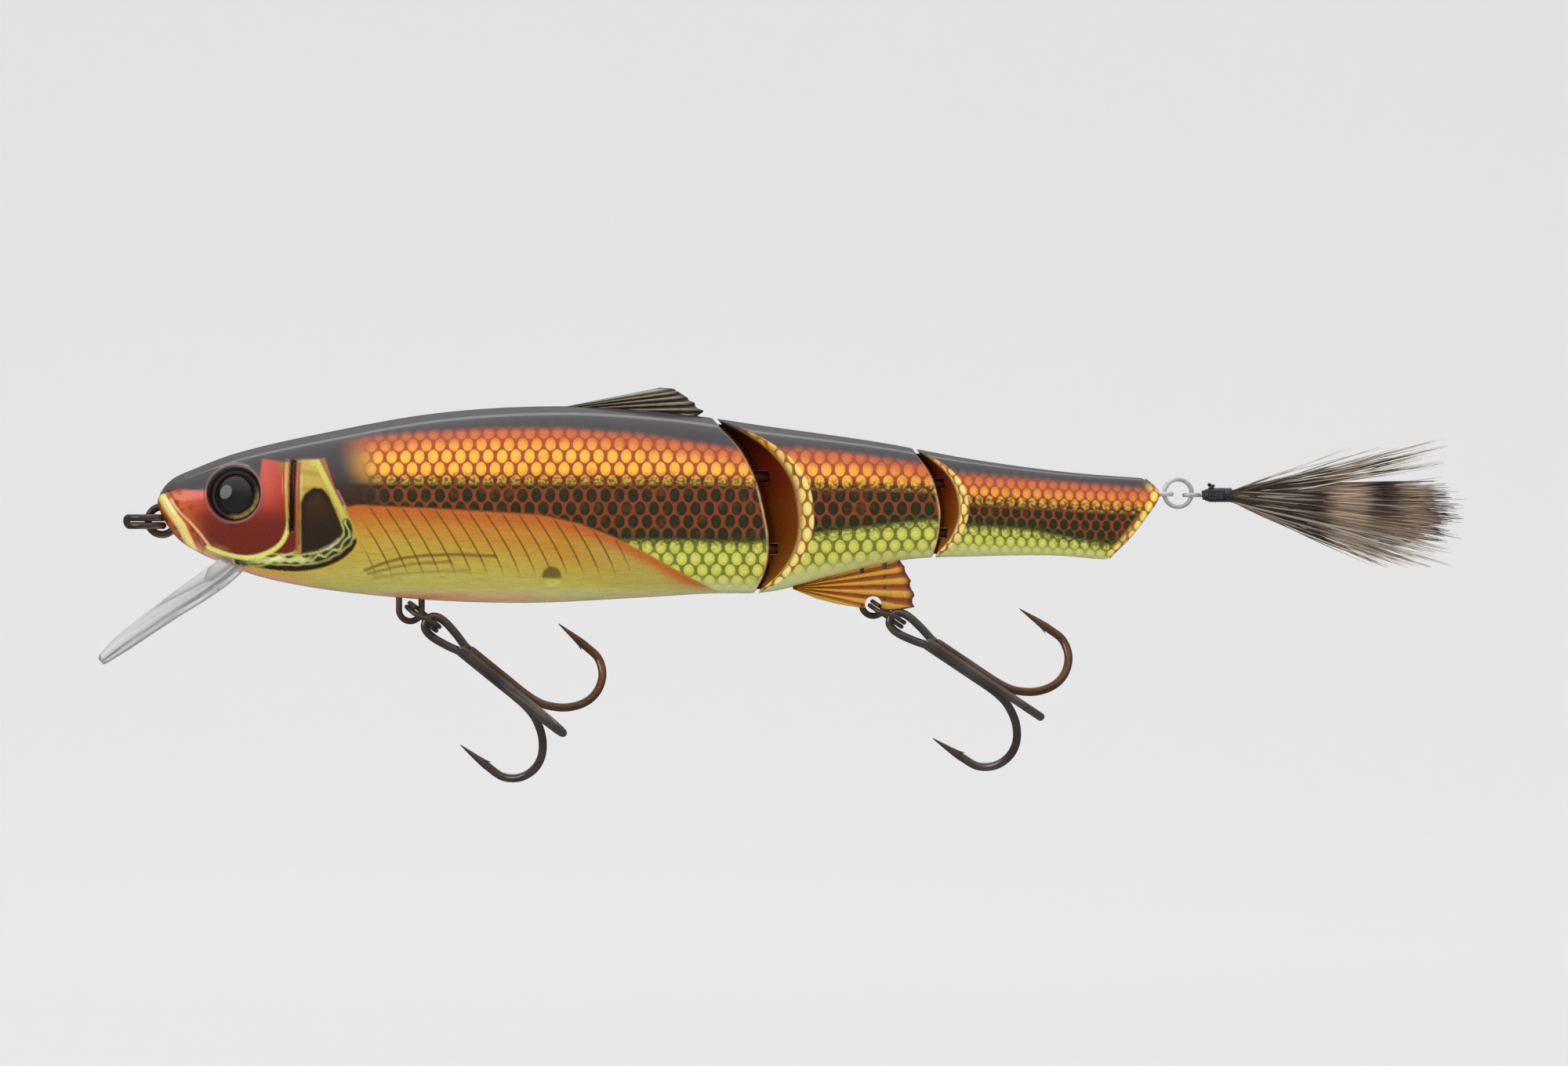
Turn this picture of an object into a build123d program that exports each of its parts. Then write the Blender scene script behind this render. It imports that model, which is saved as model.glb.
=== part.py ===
"""Jointed hard-bodied lure: three hinged shell sections, diving lip, two trebles, feather tail.

X runs from the nose to the tail, Z is up, and Y = 0 is the seam between the shell halves.
The origin is the centre of the wire loop in the nose. All sizes are millimetres.
"""
from build123d import *
import math
import os

os.makedirs("parts", exist_ok=True)

# ---- overall form: (x, value) pairs along the closed body ----
BACK = [(-0.3, 2.7), (0.0, 3.4), (0.5, 4.1), (1.5, 4.9), (3, 5.6), (8.3, 7.6), (17.2, 9.7), (31.4, 12.2),
        (45.6, 12.95), (58, 12.15), (68.7, 10.65), (81, 8.9), (91.7, 6.95), (102.4, 5.5), (114, 4.6)]
BELLY = [(-0.3, 1.3), (0.0, 0.5), (0.5, -0.35), (1.5, -1.75), (3, -2.95), (6.5, -4.7), (11.9, -6.55),
         (20, -8.0), (31.4, -9.05), (42, -9.3), (52.7, -8.8), (62, -8.25), (68.7, -8.05), (75.8, -6.3),
         (84, -4.45), (92, -4.05), (101, -3.95), (107, -4.4), (114, -4.45)]
HALF_WIDTH = [(-0.3, 1.1), (0.0, 1.65), (0.5, 2.2), (1.5, 3.1), (3, 3.9), (8.5, 5.4), (17, 6.6), (31, 7.2),
              (45, 7.1), (58, 6.75), (66, 6.4), (76, 5.3), (86, 4.0), (97, 2.95), (107, 2.3), (114, 1.9)]
STATIONS = [-0.3, 0.0, 0.5, 1.5, 3, 5, 8.5, 12, 17, 24, 31, 38, 45, 52, 58, 63, 68.7, 73, 78, 84, 90, 97,
            102, 107, 114]
WAIST = 0.4                 # share of the depth above the widest line

shell_wall = 1.2
seat_gap = 0.03             # clearance round a wire held between the shell halves
clear = 30.0                # reach of cutting solids, past every surface of the body
far_nose = -30.0
far_tail = 150.0

# ---- cuts between the sections, seen from the side ----
front_end = [(60.9, 13.5), (63.16, 10.9), (65.5, 8.2), (67.2, 4.8), (68.0, 1.9), (68.7, -1.9),
             (68.6, -4.6), (68.0, -6.7), (66.4, -9.9)]
mid_end = [(84.0, 9.9), (85.7, 7.4), (86.6, 6.05), (87.3, 4.6), (87.8, 2.7), (88.1, 0.8), (88.0, -0.9),
           (87.8, -2.3), (87.0, -5.6)]
tail_end = [(109.8, 5.9), (111.3, 4.8), (112.2, 4.1), (112.9, 3.0), (111.3, 0.2), (109.5, -2.1),
            (107.7, -3.9), (106.6, -5.2)]
joint_gap = 0.2             # play between two sections at the skin
recess_depth = 1.7          # hollow in the end of the section ahead, for the tongue
tongue_lap = 1.2            # how far a wedge's tongue reaches inside the section ahead
wedge_slope = 1.15          # how fast a wedge falls back towards the skin

# ---- hinges ----
swing = 28.0                # swing either way, degrees
front_pin_x = 71.8
front_pin_radius = 0.6
front_pin_z = (-5.4, 8.4)
front_eye_z = (-3.2, 5.0)
front_eye_wire = 0.45
rear_pin_x = 90.9
rear_pin_radius = 0.5
rear_pin_z = (-2.9, 6.0)
rear_eye_z = (-1.4, 4.2)
rear_eye_wire = 0.38
running_gap = 0.07          # radial play of an eye on its pin
slot_gap = 0.13             # play of an eye in its slot

# ---- line tie and hook hangers ----
tie_radius = 1.575
tie_wire = 0.425
nose_notch = 1.08           # recess round the nose loop for its ring
nose_notch_half = 1.9
hanger_radius = 1.28
hanger_wire = 0.36
belly_hanger_at = (28.1, -10.1)
rear_hanger_at = (80.5, -9.5)
hanger_foot = 1.6           # how far each leg is bent outwards inside the shell

# ---- rings ----
hook_ring_radius = 2.17
hook_ring_wire = 0.25
hook_ring_pitch = 0.55      # between its two turns
nose_ring_radius = 2.05
nose_ring_wire = 0.4
nose_ring_pitch = 0.87
tail_ring_radius = 1.55
tail_ring_wire = 0.23
tail_ring_pitch = 0.5

# ---- trebles ----
hook_wire = 0.47
shank_spacing = 0.565       # each shank from the treble's centre line
bend_path = [(14.0, 0.0), (17.0, 0.55), (18.9, 1.9), (20.2, 3.9), (20.5, 6.0), (19.8, 8.1), (18.2, 9.45),
             (16.0, 9.65)]  # (along, out) from the shank's own line
point_length = 3.8
single_start = 6.1          # blunt end of the brazed third hook, from the eye's tip
eye_length = 5.6
eye_radius = 1.12           # centre line of the round end of the eye
eye_offset = 2.28           # eye's tip from the point where the ring hangs
front_hang = (27.85, -9.52)
front_droop = -39.0
rear_hang = (80.25, -9.36)
rear_droop = -33.8

# ---- feather tail ----
tail_eye_at = (113.3, 3.0)
tail_eye_radius = 0.95
tail_eye_wire = 0.25
tail_ring_at = (115.0, 3.1)
feather_eye_x = 116.5
feather_eye_radius = 0.8
feather_wire = 0.24
feather_z = 2.9


def value_at(table, x):
    """Smooth curve through the (x, value) pairs of a table."""
    last = len(table) - 1
    i = 0
    while i < last - 1 and x > table[i + 1][0]:
        i += 1

    def slope(k):
        low = max(k - 1, 0)
        high = min(k + 1, last)
        return (table[high][1] - table[low][1]) / (table[high][0] - table[low][0])

    (x0, v0), (x1, v1) = table[i], table[i + 1]
    width = x1 - x0
    t = (x - x0) / width
    start = v0 * (2 * t**3 - 3 * t**2 + 1) + slope(i) * width * (t**3 - 2 * t**2 + t)
    end = v1 * (3 * t**2 - 2 * t**3) + slope(i + 1) * width * (t**3 - t**2)
    return start + end


def cross_section(x, inset=0.0):
    """Egg-shaped section of the body at x, drawn in by inset."""
    top = value_at(BACK, x) - inset
    bottom = value_at(BELLY, x) + inset
    half = value_at(HALF_WIDTH, x) - inset
    waist = top - WAIST * (top - bottom)
    with BuildSketch(Plane.YZ.offset(x)) as egg:
        with BuildLine():
            EllipticalCenterArc((0, waist), half, top - waist, start_angle=0, arc_size=180)
            EllipticalCenterArc((0, waist), half, waist - bottom, start_angle=180, arc_size=180)
        make_face()
    return egg.sketch


def side_region(points, offset, x_far):
    """Side-view region between an end curve and a far upright line."""
    moved = [(x + offset, z) for x, z in points]
    with BuildSketch(Plane.XZ) as region:
        with BuildLine():
            Spline(*moved)
            Polyline(
                moved[-1],
                (moved[-1][0], -clear),
                (x_far, -clear),
                (x_far, clear),
                (moved[0][0], clear),
                moved[0],
            )
        make_face()
    return region.sketch


def outline_region(points):
    """Side-view region with straight sides."""
    with BuildSketch(Plane.XZ) as region:
        with BuildLine():
            Polyline(*points, close=True)
        make_face()
    return region.sketch


def round_wire(points, radius, bend):
    """Round wire along straight runs joined by bends."""
    with BuildLine(mode=Mode.PRIVATE) as run:
        if len(points) == 2:
            Line(*points)
        else:
            FilletPolyline(*points, radius=bend)
    path = run.wire()
    with BuildPart() as wire:
        with BuildSketch(Plane(origin=path @ 0, z_dir=path % 0)):
            Circle(radius)
        sweep(path=path)
    return wire.part


def wire_loop(centre, normal, radius, wire_radius):
    """Closed ring of round wire."""
    with BuildPart() as loop:
        with Locations(Plane(origin=centre, z_dir=normal).location):
            Torus(radius, wire_radius)
    return loop.part


def split_ring(centre, normal, towards, radius, wire_radius, pitch):
    """Ring of two flat turns of wire with one step between them, on the side it points towards."""
    frame = Plane(origin=centre, x_dir=towards, z_dir=normal)
    steps = 40
    turn = []
    for i in range(steps + 1):
        degrees = -324 + 648 * i / steps
        angle = math.radians(degrees)
        rise = max(-1.0, min(1.0, degrees / 30))
        turn.append(frame.from_local_coords(Vector(
            radius * math.cos(angle),
            radius * math.sin(angle),
            pitch / 2 * math.sin(rise * math.pi / 2),
        )))
    with BuildLine(mode=Mode.PRIVATE) as coil:
        Spline(*turn)
    path = coil.wire()
    with BuildPart() as ring:
        with BuildSketch(Plane(origin=path @ 0, z_dir=path % 0)):
            Circle(wire_radius)
        sweep(path=path)
    return ring.part


def slot_outline(pin_x, wire_radius, eye_radius):
    """Plan shape cleared by an eye and its shank as the section swings about the pin."""
    reach = 14.0
    side = wire_radius + slot_gap
    spread = side + reach * math.tan(math.radians(swing + 3))
    with BuildSketch(Plane.XY) as outline:
        with Locations((pin_x, 0)):
            Circle(eye_radius + wire_radius + slot_gap)
        with BuildLine():
            Polyline((pin_x, side), (pin_x - reach, spread), (pin_x - reach, -spread), (pin_x, -side), close=True)
        make_face()
    return outline.sketch


def joint_eyes(pin_x, pin_radius, wire_radius, heights, root_x):
    """Two wire eyes of one size, one above the other, reaching back to the hinge pin."""
    radius = pin_radius + running_gap + wire_radius
    with BuildPart() as eyes:
        for z, turn in zip(heights, (-1, 1)):
            shank = [(pin_x - radius, 0, z), (root_x, 0, z), (root_x, 0, z + 1.5 * turn)]
            add(wire_loop((pin_x, 0, z), (0, 0, 1), radius, wire_radius))
            add(round_wire(shank, wire_radius, 0.8))
    return eyes.part


def hanger_wire_solid(centre, foot_z, wire_radius):
    """The U as two bent legs and a half ring."""
    x, z = centre
    with BuildPart() as wire:
        for side in (-1, 1):
            leg_x = x + side * hanger_radius
            leg = [(leg_x, 0, z), (leg_x, 0, foot_z), (leg_x + side * hanger_foot, 0, foot_z)]
            add(round_wire(leg, wire_radius, 0.7))
        with BuildSketch(Plane.XY.offset(z)):
            with Locations((x - hanger_radius, 0)):
                Circle(wire_radius)
        revolve(axis=Axis((x, 0, z), (0, 1, 0)), revolution_arc=-180)
    return wire.part


def treble(hang, droop):
    """Frame of a treble hook: where its ring hangs, along the shank, and the picture-plane normal."""
    along = Vector(math.cos(math.radians(droop)), 0, math.sin(math.radians(droop)))
    up = Vector(-math.sin(math.radians(droop)), 0, math.cos(math.radians(droop)))
    tip = Vector(hang[0], 0, hang[1]) + along * eye_offset
    return tip, along, up


def hook_arm(tip, along, out, start):
    """One hook: shank, round bend and needle point, in the plane of along and out."""
    line = [(start, 0.0)] + bend_path
    path_points = [tip + along * a + out * (shank_spacing + r) for a, r in line]
    with BuildLine(mode=Mode.PRIVATE) as run:
        Line(path_points[0], path_points[1])
        Spline(*path_points[1:], tangents=(along, -along))
    path = run.wire()
    with BuildPart() as arm:
        with BuildSketch(Plane(origin=path_points[0], z_dir=along)):
            Circle(hook_wire)
        sweep(path=path)
        with BuildSketch(Plane(origin=path_points[-1], z_dir=-along)) as root:
            Circle(hook_wire)
        with BuildSketch(Plane(origin=path_points[-1] - along * point_length, z_dir=-along)) as end:
            Circle(hook_wire * 0.12)
        loft(sections=[root.sketch, end.sketch])
    return arm.part


def double_hook(hang, droop):
    """Two hooks bent from one wire, with the eye between them."""
    tip, along, up = treble(hang, droop)
    toward = Vector(0, -1, 0)
    lower = up * -math.sin(math.radians(60)) - toward * math.cos(math.radians(60))
    head = tip + along * (eye_radius + hook_wire)
    neck = tip + along * eye_length
    with BuildLine(mode=Mode.PRIVATE) as teardrop:
        Spline(
            neck - up * 0.42,
            head - up * eye_radius + along * 0.25,
            head - along * eye_radius,
            head + up * eye_radius + along * 0.25,
            neck + up * 0.42,
        )
    path = teardrop.wire()
    with BuildPart() as hooks:
        with BuildSketch(Plane(origin=path @ 0, z_dir=path % 0)):
            Circle(hook_wire)
        sweep(path=path)
        add(hook_arm(tip, along, lower, eye_length - 0.4))
        add(hook_arm(tip, along, toward, eye_length - 0.4))
    return hooks.part


def single_hook(hang, droop):
    """Third hook, brazed along the other two."""
    tip, along, up = treble(hang, droop)
    outward = up * math.sin(math.radians(60)) + Vector(0, 1, 0) * math.cos(math.radians(60))
    return hook_arm(tip, along, outward, single_start)


def mirrored(shape):
    """The same shape on the other side of the seam."""
    return mirror(shape, about=Plane.XZ)


# ---- body form ----
with BuildPart() as body_form:
    loft([cross_section(x) for x in STATIONS])

with BuildPart() as half_form:
    add(body_form.part)
    split(bisect_by=Plane.XZ, keep=Keep.BOTTOM)


def section_half(cuts):
    """Right half of one section, left by the cutting solids."""
    with BuildPart() as half:
        add(half_form.part)
        for cut in cuts:
            add(cut, mode=Mode.SUBTRACT)
    return half.part


def square_cut(points, offset, x_far):
    """Cut straight across the body at an end curve."""
    with BuildPart() as cut:
        extrude(side_region(points, offset, x_far), amount=clear, both=True)
    return cut.part


def wedge_cut(points, offset):
    """Cut that leaves a wedge pointing forward, falling back from the seam to the skin."""
    with BuildPart() as cut:
        extrude(side_region(points, offset, far_nose), amount=clear, dir=(wedge_slope, 1, 0))
    return cut.part


def cavity(x_from, x_to, floor_z):
    """Hollow of a section, one wall inside its skin."""
    inner = [x for x in STATIONS if x_from < x < x_to]
    with BuildPart() as hollow:
        loft([cross_section(x, shell_wall) for x in [x_from] + inner + [x_to]])
        if floor_z is not None:
            with Locations(((x_from + x_to) / 2, 0, floor_z - clear / 2)):
                Box(x_to - x_from + 2, clear, clear, mode=Mode.SUBTRACT)
    return hollow.part


def recess(points, x_from, x_to):
    """Hollow in the end of a section, inside its wall."""
    stations = [x_from] + [x for x in STATIONS if x_from < x < x_to] + [x_to]
    with BuildPart() as hollow:
        loft([cross_section(x, shell_wall) for x in stations])
        extrude(side_region(points, -recess_depth, far_nose), amount=clear, both=True, mode=Mode.SUBTRACT)
    return hollow.part


def tongue(points, x_from, x_to, z_from, z_to):
    """Front of a wedge that laps inside the section ahead."""
    stations = [x_from] + [x for x in STATIONS if x_from < x < x_to] + [x_to]
    with BuildPart() as lap:
        loft([cross_section(x, shell_wall + 0.25) for x in stations])
        split(bisect_by=Plane.XZ, keep=Keep.BOTTOM)
        add(wedge_cut(points, -tongue_lap), mode=Mode.SUBTRACT)
        with Locations(((x_from + x_to) / 2, 0, (z_from + z_to) / 2)):
            Box(2 * clear, clear, z_to - z_from, mode=Mode.INTERSECT)
    return lap.part


# ---- hinge eyes and pins ----
front_eyes = joint_eyes(front_pin_x, front_pin_radius, front_eye_wire, front_eye_z, 62.3)
front_eyes_seat = joint_eyes(front_pin_x, front_pin_radius, front_eye_wire + seat_gap, front_eye_z, 62.3)
rear_eyes = joint_eyes(rear_pin_x, rear_pin_radius, rear_eye_wire, rear_eye_z, 84.9)
rear_eyes_seat = joint_eyes(rear_pin_x, rear_pin_radius, rear_eye_wire + seat_gap, rear_eye_z, 84.9)


def pin(x, radius, heights):
    """Upright hinge pin."""
    with BuildPart() as rod:
        with BuildSketch(Plane.XY.offset(heights[0])):
            with Locations((x, 0)):
                Circle(radius)
        extrude(amount=heights[1] - heights[0])
    return rod.part


def eye_slots(pin_x, pin_radius, wire_radius, heights):
    """Room for both eyes to swing inside the wedge."""
    outline = slot_outline(pin_x, wire_radius, pin_radius + running_gap + wire_radius)
    with BuildPart() as slots:
        for z in heights:
            extrude(Plane.XY.offset(z) * outline, amount=wire_radius + slot_gap, both=True)
    return slots.part


with BuildPart() as front_joint_eyes:
    add(front_eyes)
front_joint_eyes.part.label = "front_joint_eyes"

with BuildPart() as rear_joint_eyes:
    add(rear_eyes)
rear_joint_eyes.part.label = "rear_joint_eyes"

with BuildPart() as hinge_pin_front:
    add(pin(front_pin_x, front_pin_radius, front_pin_z))
hinge_pin_front.part.label = "hinge_pin_front"

with BuildPart() as hinge_pin_rear:
    add(pin(rear_pin_x, rear_pin_radius, rear_pin_z))
hinge_pin_rear.part.label = "hinge_pin_rear"

# ---- wires held by the shells ----
tie_shank = [(tie_radius, 0, 0), (8.0, 0, 0), (8.0, 0, 2.0)]


def line_tie_wire(wire_radius):
    """Nose loop with a bent shank."""
    with BuildPart() as wire:
        add(wire_loop((0, 0, 0), (0, 1, 0), tie_radius, wire_radius))
        add(round_wire(tie_shank, wire_radius, 0.9))
    return wire.part


def tail_eye_shape(wire_radius):
    """Flat loop behind the tail with a bent shank."""
    x, z = tail_eye_at
    shank = [(x - tail_eye_radius, 0, z), (104.5, 0, z), (104.5, 0, z - 1.8)]
    with BuildPart() as wire:
        add(wire_loop((x, 0, z), (0, 0, 1), tail_eye_radius, wire_radius))
        add(round_wire(shank, wire_radius, 0.7))
    return wire.part


belly_foot_z = -5.6
rear_foot_z = -2.6

with BuildPart() as line_tie:
    add(line_tie_wire(tie_wire))
line_tie.part.label = "line_tie"

with BuildPart() as belly_hanger:
    add(hanger_wire_solid(belly_hanger_at, belly_foot_z, hanger_wire))
belly_hanger.part.label = "belly_hanger"

with BuildPart() as rear_hanger:
    add(hanger_wire_solid(rear_hanger_at, rear_foot_z, hanger_wire))
rear_hanger.part.label = "rear_hanger"

with BuildPart() as tail_eye:
    add(tail_eye_shape(tail_eye_wire))
tail_eye.part.label = "tail_eye"

# ---- diving lip: (distance from root, rim height, underside height, half width) ----
lip_root = Vector(8.0, 0, -5.6)
lip_droop = 36.5
lip_thick = 1.15
LIP_SECTIONS = [(-2.6, 1.9, -0.4, 2.9), (0.5, 2.2, -0.9, 3.6), (4.0, 2.15, -0.9, 4.7), (8.0, 2.05, -0.55, 5.7),
                (12.0, 1.9, -0.3, 6.3), (15.0, 1.75, -0.15, 6.0), (17.0, 1.45, 0.0, 4.6), (18.1, 1.2, 0.1, 2.7)]
lip_along = Vector(-math.cos(math.radians(lip_droop)), 0, -math.sin(math.radians(lip_droop)))
lip_up = Vector(-math.sin(math.radians(lip_droop)), 0, math.cos(math.radians(lip_droop)))


def lip_section(station, extra):
    """Cupped strip across the lip."""
    distance, rim, under, half = station
    plane = Plane(origin=lip_root + lip_along * distance, x_dir=(0, 1, 0), z_dir=lip_along)
    sign = 1 if plane.y_dir.dot(lip_up) > 0 else -1
    side = half + extra
    low = sign * (under - extra)
    high = sign * (under + lip_thick + extra)
    rim_low = sign * (rim - lip_thick * 0.9 - extra)
    rim_high = sign * (rim + extra)
    with BuildSketch(plane) as strip:
        with BuildLine():
            ThreePointArc((-side, rim_low), (0, low), (side, rim_low))
            Line((side, rim_low), (side, rim_high))
            ThreePointArc((side, rim_high), (0, high), (-side, rim_high))
            Line((-side, rim_high), (-side, rim_low))
        make_face()
    return strip.sketch


def lip_blade(extra):
    """Cupped blade with the boss under its root."""
    boss_frame = Plane(origin=lip_root, x_dir=lip_along, z_dir=(0, 1, 0))
    sign = 1 if boss_frame.y_dir.dot(lip_up) > 0 else -1
    with BuildPart() as blade:
        loft([lip_section(station, extra) for station in LIP_SECTIONS])
        with BuildSketch(boss_frame):
            with BuildLine():
                Polyline(
                    (-2.4, sign * 0.3),
                    (4.2 + extra, sign * -0.6),
                    (4.2 + extra, sign * (-0.95 - extra)),
                    (1.3, sign * (-2.1 - extra)),
                    (-2.4, sign * (-2.1 - extra)),
                    close=True,
                )
            make_face()
        extrude(amount=1.5 + extra, both=True)
    return blade.part


with BuildPart() as diving_lip:
    add(lip_blade(0.0))
diving_lip.part.label = "diving_lip"

# ---- fins ----
fin_half = 0.75
fin_groove = 0.22
dorsal_outline = [(45.6, 12.2), (50.0, 13.75), (54.0, 14.75), (56.7, 15.1), (58.0, 14.8), (58.2, 15.0), (58.9, 14.6),
                  (59.0, 14.75), (59.6, 14.3), (59.7, 14.1), (60.3, 13.6), (60.3, 13.3), (61.0, 12.5),
                  (60.4, 12.3), (60.4, 10.9), (47.5, 11.0), (47.5, 12.3)]
dorsal_fan = (43.0, 12.4)
dorsal_rays = [(57.6, 14.3), (59.2, 13.7), (60.3, 13.1), (61.0, 12.7)]
anal_outline = [(70.4, -8.15), (74.6, -9.1), (78.2, -9.65), (85.3, -9.75), (85.0, -8.9), (85.3, -8.6), (84.9, -7.6),
                (85.1, -7.3), (84.5, -6.5), (84.6, -6.1), (84.1, -5.5), (84.2, -5.0), (83.9, -4.5), (83.0, -4.5),
                (83.0, -3.6), (75.4, -3.6), (75.4, -6.2), (73.0, -7.1)]
anal_fan = (71.0, -7.6)
anal_rays = [(85.0, -5.4), (85.2, -6.5), (85.3, -7.7), (85.4, -8.8)]
hanger_notch = 0.92


def fin_plate(outline, fan, rays, notch_at):
    """Flat fin with ray grooves down both faces."""
    with BuildPart() as plate:
        extrude(outline_region(outline), amount=fin_half, both=True)
        for ray_end in rays:
            groove = Vector(ray_end[0] - fan[0], 0, ray_end[1] - fan[1])
            across = Vector(-groove.Z, 0, groove.X).normalized()
            start = Vector(fan[0], 0, fan[1]) + groove * 0.35
            end = Vector(ray_end[0], 0, ray_end[1]) + groove.normalized() * 0.6
            corners = [start, end + across * 0.22, end - across * 0.22]
            strip = outline_region([(corner.X, corner.Z) for corner in corners])
            for side in (-1, 1):
                floor = side * (fin_half - fin_groove)
                extrude(Location((0, floor, 0)) * strip, amount=clear, dir=(0, side, 0), mode=Mode.SUBTRACT)
        if notch_at is not None:
            with BuildSketch(Plane.XZ):
                with Locations(notch_at):
                    Circle(hanger_notch)
            extrude(amount=clear, both=True, mode=Mode.SUBTRACT)
    return plate.part


with BuildPart() as dorsal_fin:
    add(fin_plate(dorsal_outline, dorsal_fan, dorsal_rays, None))
dorsal_fin.part.label = "dorsal_fin"

with BuildPart() as anal_fin:
    add(fin_plate(anal_outline, anal_fan, anal_rays, rear_hanger_at))
    add(hanger_wire_solid(rear_hanger_at, rear_foot_z, hanger_wire + seat_gap), mode=Mode.SUBTRACT)
anal_fin.part.label = "anal_fin"


def fin_slot(outline):
    """Slot in the shell halves for the root of a fin."""
    with BuildPart() as slot:
        extrude(outline_region(outline), amount=fin_half + seat_gap, both=True)
    return slot.part


dorsal_slot = fin_slot([(45.0, 12.17), (47.47, 12.17), (47.47, 10.87), (60.43, 10.87), (60.43, 12.17), (62.0, 12.2),
                        (62.0, 14.5), (50.0, 16.0), (45.0, 13.0)])
anal_slot = fin_slot([(69.6, -8.8), (72.9, -7.05), (75.37, -6.15), (75.37, -3.57), (83.03, -3.57), (83.03, -4.45),
                      (84.6, -4.42), (85.4, -5.4), (85.6, -9.9), (78.0, -9.9)])

# ---- eyes in the head ----
eye_plane = Plane(origin=(8.6, 5.05, 3.0), x_dir=(1, 0.16, 0), z_dir=(-0.16, 1, 0.14))
socket_radius = 3.0
socket_depth = 1.3
rim_radius = 3.5
lens_radius = 2.15
disc_thick = 0.55


with BuildPart() as eye_disc_right:
    with BuildSketch(eye_plane.offset(-socket_depth)) as disc_outline:
        Circle(socket_radius - seat_gap)
    extrude(amount=disc_thick)
    with BuildSketch(eye_plane.offset(-socket_depth + disc_thick)) as iris_ring:
        Circle(socket_radius - 0.15)
        Circle(lens_radius + 0.1, mode=Mode.SUBTRACT)
    extrude(amount=0.25, taper=25)
eye_disc_right.part.label = "eye_disc_right"

with BuildPart() as eye_lens_right:
    with BuildSketch(eye_plane.offset(-socket_depth + disc_thick)) as lens_outline:
        Circle(lens_radius)
    extrude(amount=0.9)
    fillet(eye_lens_right.faces().sort_by(Axis((0, 0, 0), eye_plane.z_dir))[-1].edges(), radius=0.75)
eye_lens_right.part.label = "eye_lens_right"

with BuildPart() as eye_disc_left:
    add(mirrored(eye_disc_right.part))
eye_disc_left.part.label = "eye_disc_left"

with BuildPart() as eye_lens_left:
    add(mirrored(eye_lens_right.part))
eye_lens_left.part.label = "eye_lens_left"

# ---- belly weight ----
weight_radius = 2.7
weight_x = (33.5, 41.5)
weight_z = -4.7


def weight_rod(extra):
    """Round weight lying along the belly."""
    with BuildPart() as rod:
        with BuildSketch(Plane.YZ.offset(weight_x[0] - extra)):
            with Locations((0, weight_z)):
                Circle(weight_radius + extra)
        extrude(amount=weight_x[1] - weight_x[0] + 2 * extra)
    return rod.part


with BuildPart() as belly_weight:
    add(weight_rod(0.0))
belly_weight.part.label = "belly_weight"

# ---- front shell ----
front_posts = [(44.25, -6.3, 1.15), (20.5, 5.0, 1.2), (44.0, 7.5, 1.2), (56.5, -4.0, 1.2)]

with BuildPart() as front_cavity:
    add(cavity(12.0, 60.6, None))
    with Locations((belly_hanger_at[0], 0, -8.0)):
        Box(7.4, clear, 7.0, mode=Mode.SUBTRACT)
    for rib_x in (34.2, 40.8):
        with Locations((rib_x, 0, -5.4)):
            Box(3.0, clear, 8.0, mode=Mode.SUBTRACT)
    with Locations((54.0, 0, 12.0)):
        Box(14.0, clear, 4.0, mode=Mode.SUBTRACT)
    for post_x, post_z, post_radius in front_posts:
        with BuildSketch(Plane.XZ):
            with Locations((post_x, post_z)):
                Circle(post_radius)
        extrude(amount=clear, both=True, mode=Mode.SUBTRACT)

with BuildPart() as front_shell_right:
    add(section_half([square_cut(front_end, 0.0, far_tail)]))
    with BuildSketch(eye_plane.offset(-socket_depth - 0.6)) as rim_outline:
        Circle(rim_radius)
    extrude(amount=socket_depth + 0.45)
    add(front_cavity.part, mode=Mode.SUBTRACT)
    with BuildSketch(eye_plane.offset(-socket_depth)) as socket_outline:
        Circle(socket_radius)
    extrude(amount=clear, mode=Mode.SUBTRACT)
    add(line_tie_wire(tie_wire + seat_gap), mode=Mode.SUBTRACT)
    with BuildSketch(Plane.XZ):
        Circle(nose_notch)
    extrude(amount=nose_notch_half, both=True, mode=Mode.SUBTRACT)
    add(hanger_wire_solid(belly_hanger_at, belly_foot_z, hanger_wire + seat_gap), mode=Mode.SUBTRACT)
    add(front_eyes_seat, mode=Mode.SUBTRACT)
    add(recess(front_end, 64.0, 70.0), mode=Mode.SUBTRACT)
    add(lip_blade(seat_gap), mode=Mode.SUBTRACT)
    add(dorsal_slot, mode=Mode.SUBTRACT)
    add(weight_rod(seat_gap), mode=Mode.SUBTRACT)
front_shell_right.part.label = "front_shell_right"

with BuildPart() as front_shell_left:
    add(mirrored(front_shell_right.part))
front_shell_left.part.label = "front_shell_left"

# ---- mid shell ----
with BuildPart() as mid_shell_right:
    add(section_half([
        square_cut(front_end, joint_gap, far_nose),
        wedge_cut(front_end, -tongue_lap),
        square_cut(mid_end, 0.0, far_tail),
    ]))
    add(tongue(front_end, 64.0, 74.0, -5.0, 6.4))
    add(recess(mid_end, 84.0, 90.0), mode=Mode.SUBTRACT)
    add(cavity(75.2, 83.0, -1.0), mode=Mode.SUBTRACT)
    add(pin(front_pin_x, front_pin_radius + seat_gap, (front_pin_z[0] - seat_gap, front_pin_z[1] + seat_gap)),
        mode=Mode.SUBTRACT)
    add(eye_slots(front_pin_x, front_pin_radius, front_eye_wire, front_eye_z), mode=Mode.SUBTRACT)
    add(rear_eyes_seat, mode=Mode.SUBTRACT)
    add(hanger_wire_solid(rear_hanger_at, rear_foot_z, hanger_wire + seat_gap), mode=Mode.SUBTRACT)
    add(anal_slot, mode=Mode.SUBTRACT)
mid_shell_right.part.label = "mid_shell_right"

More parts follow.
